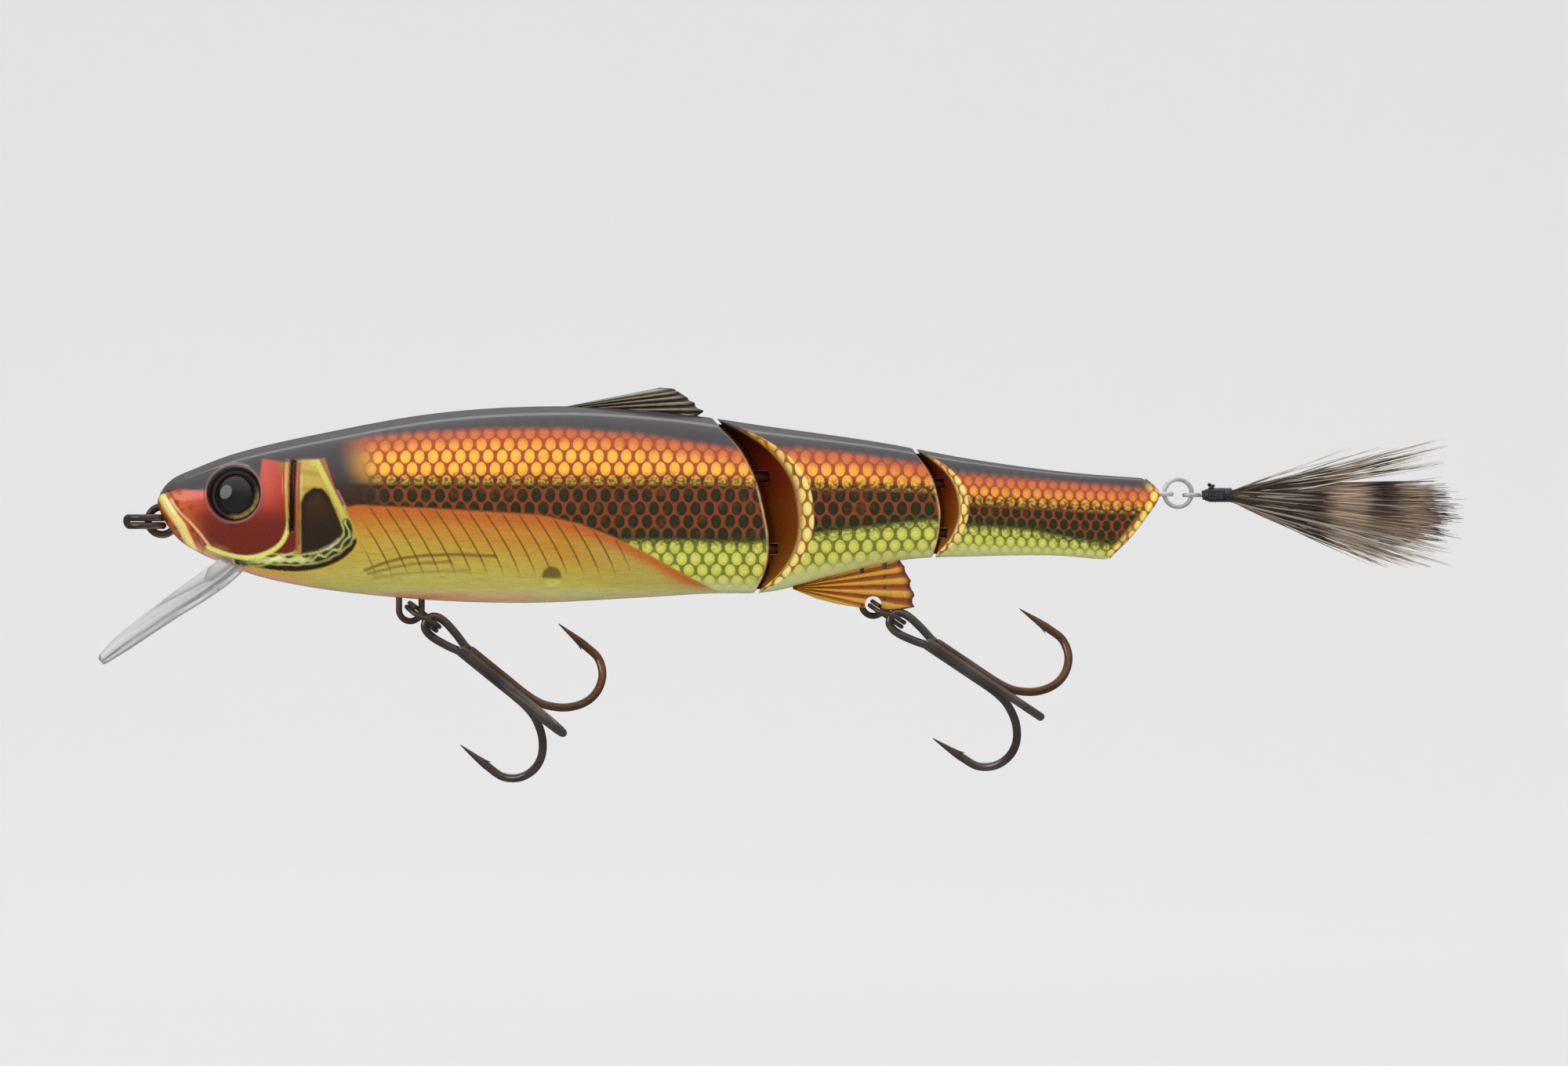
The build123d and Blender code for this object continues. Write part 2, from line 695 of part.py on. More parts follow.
with BuildPart() as mid_shell_left:
    add(mirrored(mid_shell_right.part))
mid_shell_left.part.label = "mid_shell_left"

# ---- tail shell ----
with BuildPart() as tail_shell_right:
    add(section_half([
        square_cut(mid_end, joint_gap, far_nose),
        wedge_cut(mid_end, -tongue_lap),
        square_cut(tail_end, 0.0, far_tail),
    ]))
    add(tongue(mid_end, 84.0, 92.5, -1.6, 4.5))
    add(cavity(94.0, 102.6, None), mode=Mode.SUBTRACT)
    add(pin(rear_pin_x, rear_pin_radius + seat_gap, (rear_pin_z[0] - seat_gap, rear_pin_z[1] + seat_gap)),
        mode=Mode.SUBTRACT)
    add(eye_slots(rear_pin_x, rear_pin_radius, rear_eye_wire, rear_eye_z), mode=Mode.SUBTRACT)
    add(tail_eye_shape(tail_eye_wire + seat_gap), mode=Mode.SUBTRACT)
tail_shell_right.part.label = "tail_shell_right"

with BuildPart() as tail_shell_left:
    add(mirrored(tail_shell_right.part))
tail_shell_left.part.label = "tail_shell_left"

# ---- rings ----
def ring_at(hang, droop):
    """Hook ring hanging from a hanger, seen edge-on from the side."""
    along = Vector(math.cos(math.radians(droop)), 0, math.sin(math.radians(droop)))
    up = Vector(-math.sin(math.radians(droop)), 0, math.cos(math.radians(droop)))
    centre = Vector(hang[0], 0, hang[1]) + along * hook_ring_radius
    return split_ring(centre, up, (0, -1, 0), hook_ring_radius, hook_ring_wire, hook_ring_pitch)


with BuildPart() as nose_ring:
    add(split_ring((-1.95, 0, -0.12), (0, 0, 1), (-1, 0, 0), nose_ring_radius, nose_ring_wire, nose_ring_pitch))
nose_ring.part.label = "nose_ring"

with BuildPart() as front_hook_ring:
    add(ring_at(front_hang, front_droop))
front_hook_ring.part.label = "front_hook_ring"

with BuildPart() as rear_hook_ring:
    add(ring_at(rear_hang, rear_droop))
rear_hook_ring.part.label = "rear_hook_ring"

with BuildPart() as tail_ring:
    add(split_ring((tail_ring_at[0], 0, tail_ring_at[1]), (0, -1, 0), (0, 0, 1), tail_ring_radius,
                   tail_ring_wire, tail_ring_pitch))
tail_ring.part.label = "tail_ring"

# ---- trebles ----
with BuildPart() as front_treble_double:
    add(double_hook(front_hang, front_droop))
front_treble_double.part.label = "front_treble_double"

with BuildPart() as front_treble_single:
    add(single_hook(front_hang, front_droop))
front_treble_single.part.label = "front_treble_single"

with BuildPart() as rear_treble_double:
    add(double_hook(rear_hang, rear_droop))
rear_treble_double.part.label = "rear_treble_double"

with BuildPart() as rear_treble_single:
    add(single_hook(rear_hang, rear_droop))
rear_treble_single.part.label = "rear_treble_single"

# ---- feather tail ----
shank_end_x = 123.0
wrap_x = (117.7, 121.0)
HACKLE_SECTIONS = [(121.05, 2.7, 0.65, 0.6), (124.0, 2.5, 1.6, 1.2), (130.0, 1.8, 3.0, 1.7),
                   (137.7, 1.2, 4.0, 2.0), (144.0, 1.8, 3.6, 1.6), (148.4, 1.6, 1.9, 0.8)]

with BuildPart() as feather_shank:
    add(wire_loop((feather_eye_x, 0, feather_z), (0, 0, 1), feather_eye_radius, feather_wire))
    add(round_wire([(feather_eye_x + feather_eye_radius, 0, feather_z), (shank_end_x, 0, feather_z)],
                   feather_wire, 0.5))
feather_shank.part.label = "feather_shank"

with BuildPart() as thread_wrap:
    with BuildSketch(Plane.XZ) as wrap_profile:
        with BuildLine():
            Polyline(
                (wrap_x[0], feather_z + feather_wire + seat_gap),
                (wrap_x[0], feather_z + 0.45),
                (wrap_x[0] + 0.9, feather_z + 0.78),
                (wrap_x[1], feather_z + 0.78),
                (wrap_x[1], feather_z + feather_wire + seat_gap),
                close=True,
            )
        make_face()
    revolve(axis=Axis((0, 0, feather_z), (1, 0, 0)))
    with Locations((wrap_x[0] + 1.0, 0, feather_z + 0.8)):
        Sphere(0.38)
thread_wrap.part.label = "thread_wrap"

def hackle_oval(station):
    """Oval section across the feather."""
    x, z, half_height, half_width = station
    with BuildSketch(Plane.YZ.offset(x)) as oval:
        with Locations((0, z)):
            Ellipse(half_width, half_height)
    return oval.sketch


with BuildPart() as feather_hackle:
    loft([hackle_oval(station) for station in HACKLE_SECTIONS])
    with BuildSketch(Plane.YZ.offset(wrap_x[1])):
        with Locations((0, feather_z)):
            Circle(feather_wire + seat_gap)
    extrude(amount=shank_end_x - wrap_x[1] + 0.1, mode=Mode.SUBTRACT)
feather_hackle.part.label = "feather_hackle"

for piece in (front_shell_left, front_shell_right, mid_shell_left, mid_shell_right, tail_shell_left,
              tail_shell_right, dorsal_fin, anal_fin, eye_disc_left, eye_disc_right, eye_lens_left,
              eye_lens_right, diving_lip, line_tie, belly_hanger, rear_hanger, tail_eye, front_joint_eyes,
              rear_joint_eyes, hinge_pin_front, hinge_pin_rear, belly_weight, nose_ring, front_hook_ring,
              rear_hook_ring, tail_ring, front_treble_double, front_treble_single, rear_treble_double,
              rear_treble_single, feather_shank, thread_wrap, feather_hackle):
    export_step(piece.part, "parts/" + piece.part.label + ".step")
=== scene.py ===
"""Looks of a three-section jointed swimbait with treble hooks and a feather tail."""

import math

import bmesh
import bpy
import numpy as np
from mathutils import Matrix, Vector


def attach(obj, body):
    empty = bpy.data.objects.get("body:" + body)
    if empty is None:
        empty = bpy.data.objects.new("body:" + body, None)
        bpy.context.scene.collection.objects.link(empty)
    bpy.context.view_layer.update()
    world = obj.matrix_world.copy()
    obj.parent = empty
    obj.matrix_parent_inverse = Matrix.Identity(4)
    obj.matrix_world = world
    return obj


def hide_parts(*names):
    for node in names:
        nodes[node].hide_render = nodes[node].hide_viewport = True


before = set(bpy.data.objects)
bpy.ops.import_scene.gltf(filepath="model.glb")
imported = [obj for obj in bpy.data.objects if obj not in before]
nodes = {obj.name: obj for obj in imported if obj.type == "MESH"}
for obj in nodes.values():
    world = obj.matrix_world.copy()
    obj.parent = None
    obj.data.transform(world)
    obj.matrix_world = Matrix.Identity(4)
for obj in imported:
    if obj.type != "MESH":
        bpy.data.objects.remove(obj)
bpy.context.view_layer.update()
scene = bpy.context.scene
scene.view_settings.view_transform = "Standard"
rng = np.random.default_rng(7)
MM = 0.001

# ---- body form, in millimetres: nose loop at the origin, +X to the tail, +Z up, -Y the near side ----
BACK = [(-0.3, 2.7), (0.0, 3.4), (0.5, 4.1), (1.5, 4.9), (3, 5.6), (8.3, 7.6), (17.2, 9.7), (31.4, 12.2),
        (45.6, 12.95), (58, 12.15), (68.7, 10.65), (81, 8.9), (91.7, 6.95), (102.4, 5.5), (114, 4.6)]
BELLY = [(-0.3, 1.3), (0.0, 0.5), (0.5, -0.35), (1.5, -1.75), (3, -2.95), (6.5, -4.7), (11.9, -6.55),
         (20, -8.0), (31.4, -9.05), (42, -9.3), (52.7, -8.8), (62, -8.25), (68.7, -8.05), (75.8, -6.3),
         (84, -4.45), (92, -4.05), (101, -3.95), (107, -4.4), (114, -4.45)]
HALF_WIDTH = [(-0.3, 1.1), (0.0, 1.65), (0.5, 2.2), (1.5, 3.1), (3, 3.9), (8.5, 5.4), (17, 6.6), (31, 7.2),
              (45, 7.1), (58, 6.75), (66, 6.4), (76, 5.3), (86, 4.0), (97, 2.95), (107, 2.3), (114, 1.9)]
FRONT_END = [(60.9, 13.5), (63.16, 10.9), (65.5, 8.2), (67.2, 4.8), (68.0, 1.9), (68.7, -1.9), (68.6, -4.6),
             (68.0, -6.7), (66.4, -9.9)]
MID_END = [(84.0, 9.9), (85.7, 7.4), (86.6, 6.05), (87.3, 4.6), (87.8, 2.7), (88.1, 0.8), (88.0, -0.9),
           (87.8, -2.3), (87.0, -5.6)]
TAIL_END = [(109.8, 5.9), (111.3, 4.8), (112.2, 4.1), (112.9, 3.0), (111.3, 0.2), (109.5, -2.1),
            (107.7, -3.9), (106.6, -5.2)]
WAIST = 0.4
WALL = 1.2
JOINT_GAP = 0.2
TONGUE_LAP = 1.2
WEDGE_SLOPE = 1.15
RECESS_DEPTH = 1.7
EYE_CENTRE = np.array([8.6, -5.05, 3.0])
EYE_AXIS = np.array([-0.16, -1.0, 0.14]) / np.linalg.norm([-0.16, -1.0, 0.14])


# ---- numbers ----
def through(table, x):
    """Smooth curve through the (x, value) pairs of a table, at every x of an array."""
    xs = np.array([p[0] for p in table], float)
    vs = np.array([p[1] for p in table], float)
    slopes = np.gradient(vs, xs)
    slopes[1:-1] = (vs[2:] - vs[:-2]) / (xs[2:] - xs[:-2])
    x = np.clip(x, xs[0], xs[-1])
    k = np.clip(np.searchsorted(xs, x) - 1, 0, len(xs) - 2)
    h = xs[k + 1] - xs[k]
    t = (x - xs[k]) / h
    start = vs[k] * (2 * t**3 - 3 * t**2 + 1) + slopes[k] * h * (t**3 - 2 * t**2 + t)
    return start + vs[k + 1] * (3 * t**2 - 2 * t**3) + slopes[k + 1] * h * (t**3 - t**2)


def steps(table, x):
    """Straight runs between the (x, value) pairs of a table."""
    return np.interp(x, [p[0] for p in table], [p[1] for p in table])


def end_at(table, z):
    """x of an end curve at height z."""
    return through([(pz, px) for px, pz in sorted(table, key=lambda p: p[1])], z)


def smooth(low, high, value):
    """0 at low and 1 at high, with a soft start and end; high may be the smaller one."""
    t = np.clip((value - low) / (high - low), 0, 1)
    return t * t * (3 - 2 * t)


def line_distance(points, x, z):
    """Distance from each (x, z) to a run of straight lines."""
    best = np.full(np.shape(x), 1e9)
    for (x0, z0), (x1, z1) in zip(points[:-1], points[1:]):
        dx, dz = x1 - x0, z1 - z0
        t = np.clip(((x - x0) * dx + (z - z0) * dz) / (dx * dx + dz * dz), 0, 1)
        best = np.minimum(best, np.hypot(x - x0 - t * dx, z - z0 - t * dz))
    return best


def region(points, x, z):
    """Distance to the edge of a closed outline, positive inside."""
    closed = points + points[:1]
    inside = np.zeros(np.shape(x), bool)
    for (x0, z0), (x1, z1) in zip(closed[:-1], closed[1:]):
        if z0 == z1:
            continue
        crosses = (z0 > z) != (z1 > z)
        inside ^= crosses & (x < (x1 - x0) * (z - z0) / (z1 - z0) + x0)
    distance = line_distance(closed, x, z)
    return np.where(inside, distance, -distance)


def soften(points, rounds=2):
    """Corner-cut an open run of points so it bends smoothly."""
    pts = [np.array(p, float) for p in points]
    for _ in range(rounds):
        cut = [pts[0]]
        for a, b in zip(pts[:-1], pts[1:]):
            cut += [a * 0.75 + b * 0.25, a * 0.25 + b * 0.75]
        pts = cut + [pts[-1]]
    return [tuple(p) for p in pts]


def all_round(count):
    """Evenly spaced angles round a circle."""
    return np.linspace(0, 2 * np.pi, count, endpoint=False)


def xyz(x, y, z):
    """Points from their three coordinates."""
    return np.stack([x, y, z], axis=1)


def linear(r, g, b):
    """Linear colour of an 8-bit one."""
    c = np.array([r, g, b], float) / 255
    return np.where(c <= 0.04045, c / 12.92, ((c + 0.055) / 1.055) ** 2.4)


def over(base, colour, amount):
    """Lay a colour over an array of colours."""
    amount = np.clip(amount, 0, 1)[..., None]
    return base * (1 - amount) + np.asarray(colour) * amount


def plain(x, r, g, b):
    """One 8-bit colour at every point of x."""
    return np.broadcast_to(linear(r, g, b), np.shape(x) + (3,))


def coats(base, *layers):
    """Lay 8-bit colours over an array of colours in turn, each with its amount."""
    for colour, amount in layers:
        base = over(base, linear(*colour), amount)
    return base


def stroke(run, x, z, outer, inner):
    """Amount of a drawn line: 1 within inner of a run of points, 0 beyond outer."""
    return smooth(outer, inner, line_distance(run, x, z))


# ---- meshes ----
def grid_faces(rows, cols, close_rows=False, close_cols=False):
    faces = []
    for i in range(rows if close_rows else rows - 1):
        for j in range(cols if close_cols else cols - 1):
            i2, j2 = (i + 1) % rows, (j + 1) % cols
            faces.append((i * cols + j, i * cols + j2, i2 * cols + j2, i2 * cols + j))
    return faces


def closed_ends(rings, sides):
    """Faces of a stack of rings with both ends filled."""
    faces = grid_faces(rings, sides, close_cols=True)
    faces.append(tuple(range(sides)))
    faces.append(tuple((rings - 1) * sides + k for k in reversed(range(sides))))
    return faces


def outward(obj):
    """Turn all faces to point out of the closed mesh."""
    bm = bmesh.new()
    bm.from_mesh(obj.data)
    bmesh.ops.recalc_face_normals(bm, faces=bm.faces)
    bm.to_mesh(obj.data)
    bm.free()


def piece(name, verts, faces, body, material, replaces=(), sharp=40, flip=True):
    """Mesh object in metres from points in millimetres, riding on a body."""
    mesh = bpy.data.meshes.new(name)
    mesh.from_pydata((np.asarray(verts, float) * MM).tolist(), [], faces)
    mesh.update()
    obj = bpy.data.objects.new(name, mesh)
    scene.collection.objects.link(obj)
    if flip:
        outward(obj)
    mesh.shade_smooth()
    mesh.set_sharp_from_angle(angle=math.radians(sharp))
    mesh.materials.append(material)
    if body:
        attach(obj, body)
        if replaces:
            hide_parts(*replaces)
    return obj


def paint(obj, name, colours):
    """Store one colour or mark per vertex."""
    data = np.ones((len(obj.data.vertices), 4))
    data[:, :3] = colours
    layer = obj.data.attributes.new(name, "FLOAT_COLOR", "POINT")
    layer.data.foreach_set("color", data.ravel())


def coordinates(obj, name, uv):
    """Store a flat coordinate, in millimetres, per vertex."""
    layer = obj.data.attributes.new(name, "FLOAT_VECTOR", "POINT")
    data = np.zeros((len(obj.data.vertices), 3))
    data[:, :2] = uv
    layer.data.foreach_set("vector", data.ravel())


def merge(parts):
    verts, faces = [], []
    for v, f in parts:
        base = sum(len(p) for p in verts)
        verts.append(np.asarray(v, float))
        faces += [tuple(i + base for i in face) for face in f]
    return np.vstack(verts), faces


def tube(path, radii, sides=14, closed=False):
    """Round wire along a path, its ends closed."""
    path = np.asarray(path, float)
    count = len(path)
    radii = np.broadcast_to(radii, (count,))
    if closed:
        tangents = np.roll(path, -1, 0) - np.roll(path, 1, 0)
    else:
        tangents = np.gradient(path, axis=0)
    tangents /= np.linalg.norm(tangents, axis=1)[:, None]
    helper = np.array([0.0, 0.0, 1.0]) if abs(tangents[0][2]) < 0.8 else np.array([1.0, 0.0, 0.0])
    side = np.cross(tangents[0], helper)
    frames = []
    for t in tangents:
        side = side - t * side.dot(t)
        side /= np.linalg.norm(side)
        frames.append((side.copy(), np.cross(t, side)))
    turn = all_round(sides)
    rings = [p + r * (np.cos(turn)[:, None] * a + np.sin(turn)[:, None] * b)
             for p, r, (a, b) in zip(path, radii, frames)]
    verts = np.vstack(rings)
    if closed:
        return verts, grid_faces(count, sides, close_rows=True, close_cols=True)
    return verts, closed_ends(count, sides)


def spline(points, count):
    """Evenly spaced points on a smooth curve through the given ones."""
    pts = np.asarray(points, float)
    run = np.concatenate([[0], np.cumsum(np.linalg.norm(np.diff(pts, axis=0), axis=1))])
    where = np.linspace(0, run[-1], count)
    return np.stack([through(list(zip(run, pts[:, k])), where) for k in range(pts.shape[1])], axis=1)


# ---- materials ----
class Look:
    """A node material built around one Principled shader."""

    def __init__(self, name, **values):
        self.mat = bpy.data.materials.new(name)
        self.mat.use_nodes = True
        self.tree = self.mat.node_tree
        self.shader = self.tree.nodes["Principled BSDF"]
        for key, value in values.items():
            self.shader.inputs[key.replace("_", " ")].default_value = value

    def node(self, kind, inputs=(), **settings):
        made = self.tree.nodes.new(kind)
        for key, value in settings.items():
            setattr(made, key, value)
        for key, value in dict(inputs).items():
            self.feed(made.inputs[key], value)
        return made

    def feed(self, socket, value):
        if isinstance(value, bpy.types.NodeSocket):
            self.tree.links.new(value, socket)
        else:
            socket.default_value = value

    def math(self, operation, a, b=0.0, c=0.0, clamp=False):
        made = self.node("ShaderNodeMath", {0: a, 1: b, 2: c}, operation=operation, use_clamp=clamp)
        return made.outputs[0]

    def ramp(self, value, low, high, out_low=0.0, out_high=1.0):
        made = self.node("ShaderNodeMapRange", {0: value, 1: low, 2: high, 3: out_low, 4: out_high},
                         interpolation_type="SMOOTHSTEP")
        return made.outputs[0]

    def mix(self, factor, a, b):
        made = self.node("ShaderNodeMix", {0: factor, 6: a, 7: b}, data_type="RGBA")
        return made.outputs[2]

    def attribute(self, name):
        return self.node("ShaderNodeAttribute", attribute_name=name)

    def place(self):
        return self.node("ShaderNodeTexCoord").outputs["Object"]

    def noise(self, scale, detail=2.0, rough=0.5, at=None, stretch=None):
        where = at if at is not None else self.place()
        if stretch:
            where = self.node("ShaderNodeMapping", {0: where, "Scale": stretch}).outputs[0]
        made = self.node("ShaderNodeTexNoise", {"Vector": where, "Scale": scale, "Detail": detail,
                                                "Roughness": rough})
        return made.outputs[0]

    def bump(self, height, strength, distance):
        made = self.node("ShaderNodeBump", {"Height": height, "Strength": strength, "Distance": distance})
        self.tree.links.new(made.outputs[0], self.shader.inputs["Normal"])

    def colour(self, socket):
        self.tree.links.new(socket, self.shader.inputs["Base Color"])

    def rough(self, socket):
        self.tree.links.new(socket, self.shader.inputs["Roughness"])

    def times(self, a, b):
        return self.math("MULTIPLY", a, b)

    def plus(self, a, b):
        return self.math("ADD", a, b)

    def minus(self, a, b):
        return self.math("SUBTRACT", a, b)

    def mottle(self, scale, detail, low, high, a, b):
        """Colour that drifts from one tone to another as a noise goes from low to high."""
        self.colour(self.mix(self.ramp(self.noise(scale, detail), low, high), a, b))

    def wear(self, scale, detail, polished, rubbed):
        """Roughness that drifts between two values."""
        self.rough(self.ramp(self.noise(scale, detail), 0.2, 0.8, polished, rubbed))


def rgba(r, g, b):
    return (*linear(r, g, b), 1.0)


def wire_look(name, dark, light, roughness, warm=None, metallic=0.8):
    """Plated or drawn wire: drifts of tone, warm patches where given, and fine scratches in its roughness and
    bump.
    """
    look = Look(name, Metallic=metallic)
    broad = look.ramp(look.noise(260, 3, 0.5), 0.2, 0.9)
    tone = look.mix(broad, dark, light)
    if warm:
        patches = look.times(look.ramp(look.noise(120, 2, 0.5), 0.42, 0.75), 0.5)
        tone = look.mix(patches, tone, warm)
    look.colour(tone)
    fine = look.noise(5200, 3, 0.65)
    look.rough(look.ramp(fine, 0.2, 0.8, roughness * 0.7, roughness * 1.4))
    look.bump(fine, 0.06, 0.00002)
    return look.mat


def scale_cells(look, flat, along, across):
    """How far a point lies inside the nearest upright oval scale, 1 at its middle and 0 at its edge."""
    split = look.node("ShaderNodeSeparateXYZ", {0: flat})
    s = look.math("DIVIDE", split.outputs[0], along)
    t = look.math("DIVIDE", split.outputs[1], across)
    low = look.math("FLOOR", t)
    nearest = []
    for step in (0.0, 1.0):
        row = look.plus(low, step)
        dz = look.math("DIVIDE", look.minus(t, row), SCALE_HALF_HEIGHT)
        shifted = look.minus(s, look.times(row, 0.5))
        dx = look.minus(look.math("FRACT", look.plus(shifted, 0.5)), 0.5)
        dx = look.math("DIVIDE", dx, SCALE_HALF_WIDTH)
        square = look.plus(look.times(dx, dx), look.times(dz, dz))
        nearest.append(look.math("SQRT", square))
    first = look.math("MINIMUM", *nearest)
    return look.minus(1.0, first), first


SCALE_HALF_WIDTH, SCALE_HALF_HEIGHT = 0.42, 0.60


def foil_look(name, along, across):
    """Printed foil under a thick clear coat, with a staggered scale pattern and its dark outlines; its
    painted cell colours carry painted reflection, and each scale's middle is brightened as a painted
    highlight.
    """
    look = Look(name, Metallic=0.12, Coat_Weight=0.8, Coat_Roughness=0.05, Coat_IOR=1.45)
    flat = look.attribute("flat").outputs["Vector"]
    cell = look.attribute("cell").outputs["Color"]
    line = look.attribute("line").outputs["Color"]
    marks = look.node("ShaderNodeSeparateColor", {0: look.attribute("marks").outputs["Color"]})
    scales, speckle, gloss = marks.outputs
    more = look.node("ShaderNodeSeparateColor", {0: look.attribute("ribs").outputs["Color"]})
    rib_phase, rib_depth, streak = more.outputs
    wobble = look.noise(0.9, 2, 0.5, at=flat)
    edge, middle = scale_cells(look, flat, along, across)
    edge = look.plus(edge, look.times(look.minus(wobble, 0.5), 0.22))
    inside = look.ramp(edge, 0.0, 0.2)
    hidden = look.times(look.minus(1.0, inside), scales)
    tone = look.mix(hidden, cell, line)
    # the middle of each scale is brightened: painted highlight
    glow = look.times(look.ramp(middle, 0.75, 0.15), scales)
    lit = look.node("ShaderNodeVectorMath", {0: cell, 3: 1.5}, operation="SCALE").outputs[0]
    tone = look.mix(look.times(glow, 0.35), tone, lit)
    dull = look.times(look.ramp(look.noise(0.55, 2, 0.7, at=flat), 0.5, 0.72), scales)
    tone = look.mix(look.times(dull, 0.35), tone, line)
    flecks = look.ramp(look.noise(2.6, 3, 0.6, at=flat), 0.44, 0.56)
    tone = look.mix(look.times(flecks, speckle), tone, rgba(38, 34, 14))
    wave = look.math("ABSOLUTE", look.minus(look.math("FRACT", rib_phase), 0.5))
    rib = look.times(look.ramp(wave, 0.095, 0.02), rib_depth)
    tone = look.mix(look.times(rib, 0.8), tone, rgba(104, 56, 14))
    streaks = look.ramp(look.noise(1.6, 4, 0.6, at=flat, stretch=(0.25, 2.2, 1)), 0.35, 0.7)
    tone = look.mix(look.times(streaks, look.times(streak, 0.5)), tone,
                    look.mix(0.5, tone, rgba(120, 62, 16)))
    look.colour(tone)
    grain = look.noise(5.5, 2, 0.6, at=flat)
    base = look.math("MULTIPLY_ADD", grain, 0.12, 0.22)
    look.rough(look.plus(base, look.times(gloss, 0.25)))
    raised = look.times(look.ramp(edge, -0.1, 0.6), scales)
    height = look.plus(raised, look.times(grain, 0.08))
    height = look.minus(height, look.times(rib, 0.6))
    look.bump(height, 0.45, 0.00012)
    return look.mat


# ---- colours of the flank, print with painted reflection: heights of the edges of the bands along the body ----
CHARCOAL = (58, 55, 56)
CHARCOAL_EDGE = [(0, 3.2), (5, 5.2), (12, 7.4), (17, 8.6), (22, 9.3), (30, 10.1), (38, 10.5), (46, 10.45),
                 (55, 9.7), (62, 8.6), (67, 7.9), (72, 8.3), (78, 7.7), (86, 6.5), (90, 5.5), (96, 5.0),
                 (104, 4.3), (110, 3.8), (116, 3.6)]
GOLD_EDGE = [(20, 4.2), (46, 4.1), (60, 4.1), (66, 3.95), (70, 3.7), (80, 3.5), (87, 3.3), (88.5, 2.05),
             (98, 1.5), (108, 0.9), (116, 0.7)]
DARK_EDGE = [(20, -2.2), (60, -2.2), (67, -2.5), (70, -1.9), (76, -1.2), (80, -0.7), (87, 0.1),
             (88.5, -0.45), (94, -0.7), (98, -1.0), (103, -2.0), (108, -2.9), (116, -3.1)]
CREAM_EDGE = [(20, -6.9), (60, -6.8), (67, -6.9), (72, -5.6), (80, -4.1), (87, -3.3), (90, -2.9),
              (100, -3.1), (108, -3.9), (116, -3.9)]


def bands(x, z):
    """Cell colour, line colour, scale strength, speckle and dullness of the flank at each point; its bands
    are print, with painted reflection in their brightness.
    """
    gold_edge, dark_edge, cream_edge = steps(GOLD_EDGE, x), steps(DARK_EDGE, x), steps(CREAM_EDGE, x)
    height = z - steps(CHARCOAL_EDGE, x)
    low = smooth(gold_edge + 1.3, gold_edge + 0.2, z)
    # the dark middle band is a painted reflection of the dark horizon in the foil; the bright bands above and
    # below are partly painted reflection of the lit top and floor
    dark = smooth(gold_edge + 0.25, gold_edge - 0.35, z)
    near_green = smooth(dark_edge + 1.7, dark_edge + 0.3, z)
    pale = smooth(dark_edge + 0.3, dark_edge - 0.5, z)
    cream = smooth(cream_edge + 0.9, cream_edge - 1.2, z)
    charcoal = smooth(-0.75, 0.35, height)
    cell = coats(plain(x, 250, 176, 52), ((196, 96, 44), smooth(-3.0, -0.6, height)), ((190, 148, 44), low),
                 ((40, 40, 16), dark), ((206, 206, 88), pale), ((206, 208, 140), cream), (CHARCOAL, charcoal))
    line = coats(plain(x, 160, 66, 22), ((124, 52, 18), low), ((136, 60, 20), dark),
                 ((86, 76, 24), near_green * dark), ((122, 124, 40), pale), ((186, 190, 112), cream))
    line = over(line, linear(*CHARCOAL) * 0.9, charcoal)
    scales = smooth(1.1, -0.4, height) * (1 - 0.85 * cream) * smooth(20.5, 24.5, x)
    speckle = np.exp(-((z - gold_edge - 0.35) / 0.7) ** 2) * 0.8
    speckle += np.exp(-((z - dark_edge + 0.25) / 0.6) ** 2) * 0.6
    speckle *= smooth(22, 26, x) * smooth(0.3, -1.0, height)
    return cell, line, scales, np.clip(speckle, 0, 1), charcoal * 0.5


# ---- outlines on the head and belly, as (x, z) ----
FIELD_TOP = [(20.8, 1.4), (22.5, 1.8), (32, 1.35), (43, 0.7), (47.4, -0.3), (51.3, -1.8), (55.6, -4.0),
             (58.9, -5.9), (61.8, -7.4), (64.5, -9.0)]
CAP = [(-2, 2.5), (0.1, 2.9), (2.3, 3.5), (4.9, 3.3), (8.6, 3.0), (11.5, 4.2), (11.7, 6.9), (14.3, 6.5),
       (16.0, 6.85), (18.4, 6.9), (19.6, 7.2), (20.6, 9.0), (20.6, 14), (-2, 14)]
FACE = [(-2, 14), (-2, -6), (5.4, -4.6), (8.0, -5.1), (10.2, -5.4), (13.2, -5.9), (16.1, -6.05), (19.4, -5.4),
        (21.9, -3.9), (22.8, -2.2), (22.2, -0.8), (20.7, 2.4), (19.6, 4.6), (18.7, 7.2), (18.6, 14)]
CHEEK_BACK = soften([(14.5, 6.5), (14.55, 3.8), (14.6, 1.3), (14.8, -0.6), (14.1, -2.5), (12.6, -3.6),
                     (10.2, -4.3), (7.6, -3.9), (5.4, -3.0)])
GROOVE = soften([(15.25, 6.6), (15.15, 3.0), (15.1, 0.8), (15.0, -1.0)])
RIDGE = soften([(15.85, 6.4), (15.8, 3.0), (15.8, 0.0), (15.7, -3.2)])
OPERCLE = [(16.1, 6.75), (18.2, 6.85), (19.4, 4.6), (20.5, 2.4), (21.7, -0.1), (22.4, -1.9), (21.6, -3.1),
           (19.6, -4.3), (17.0, -5.0), (14.0, -5.1), (11.0, -4.7), (13.6, -4.0), (15.2, -3.5), (16.0, -2.6)]
GILL_INSIDE = [(16.15, 2.0), (16.6, 3.0), (17.6, 3.7), (18.6, 3.6), (19.4, 2.7), (20.3, 0.6), (21.0, -1.2),
               (20.6, -2.1), (19.6, -2.9), (18.2, -3.5), (16.1, -3.8)]
RIM_LOW = soften([(8.8, -4.6), (10.6, -4.6), (12.6, -4.3), (15.4, -4.5), (18.3, -4.2), (20.5, -3.1),
                  (21.7, -1.7), (21.3, -0.2)])
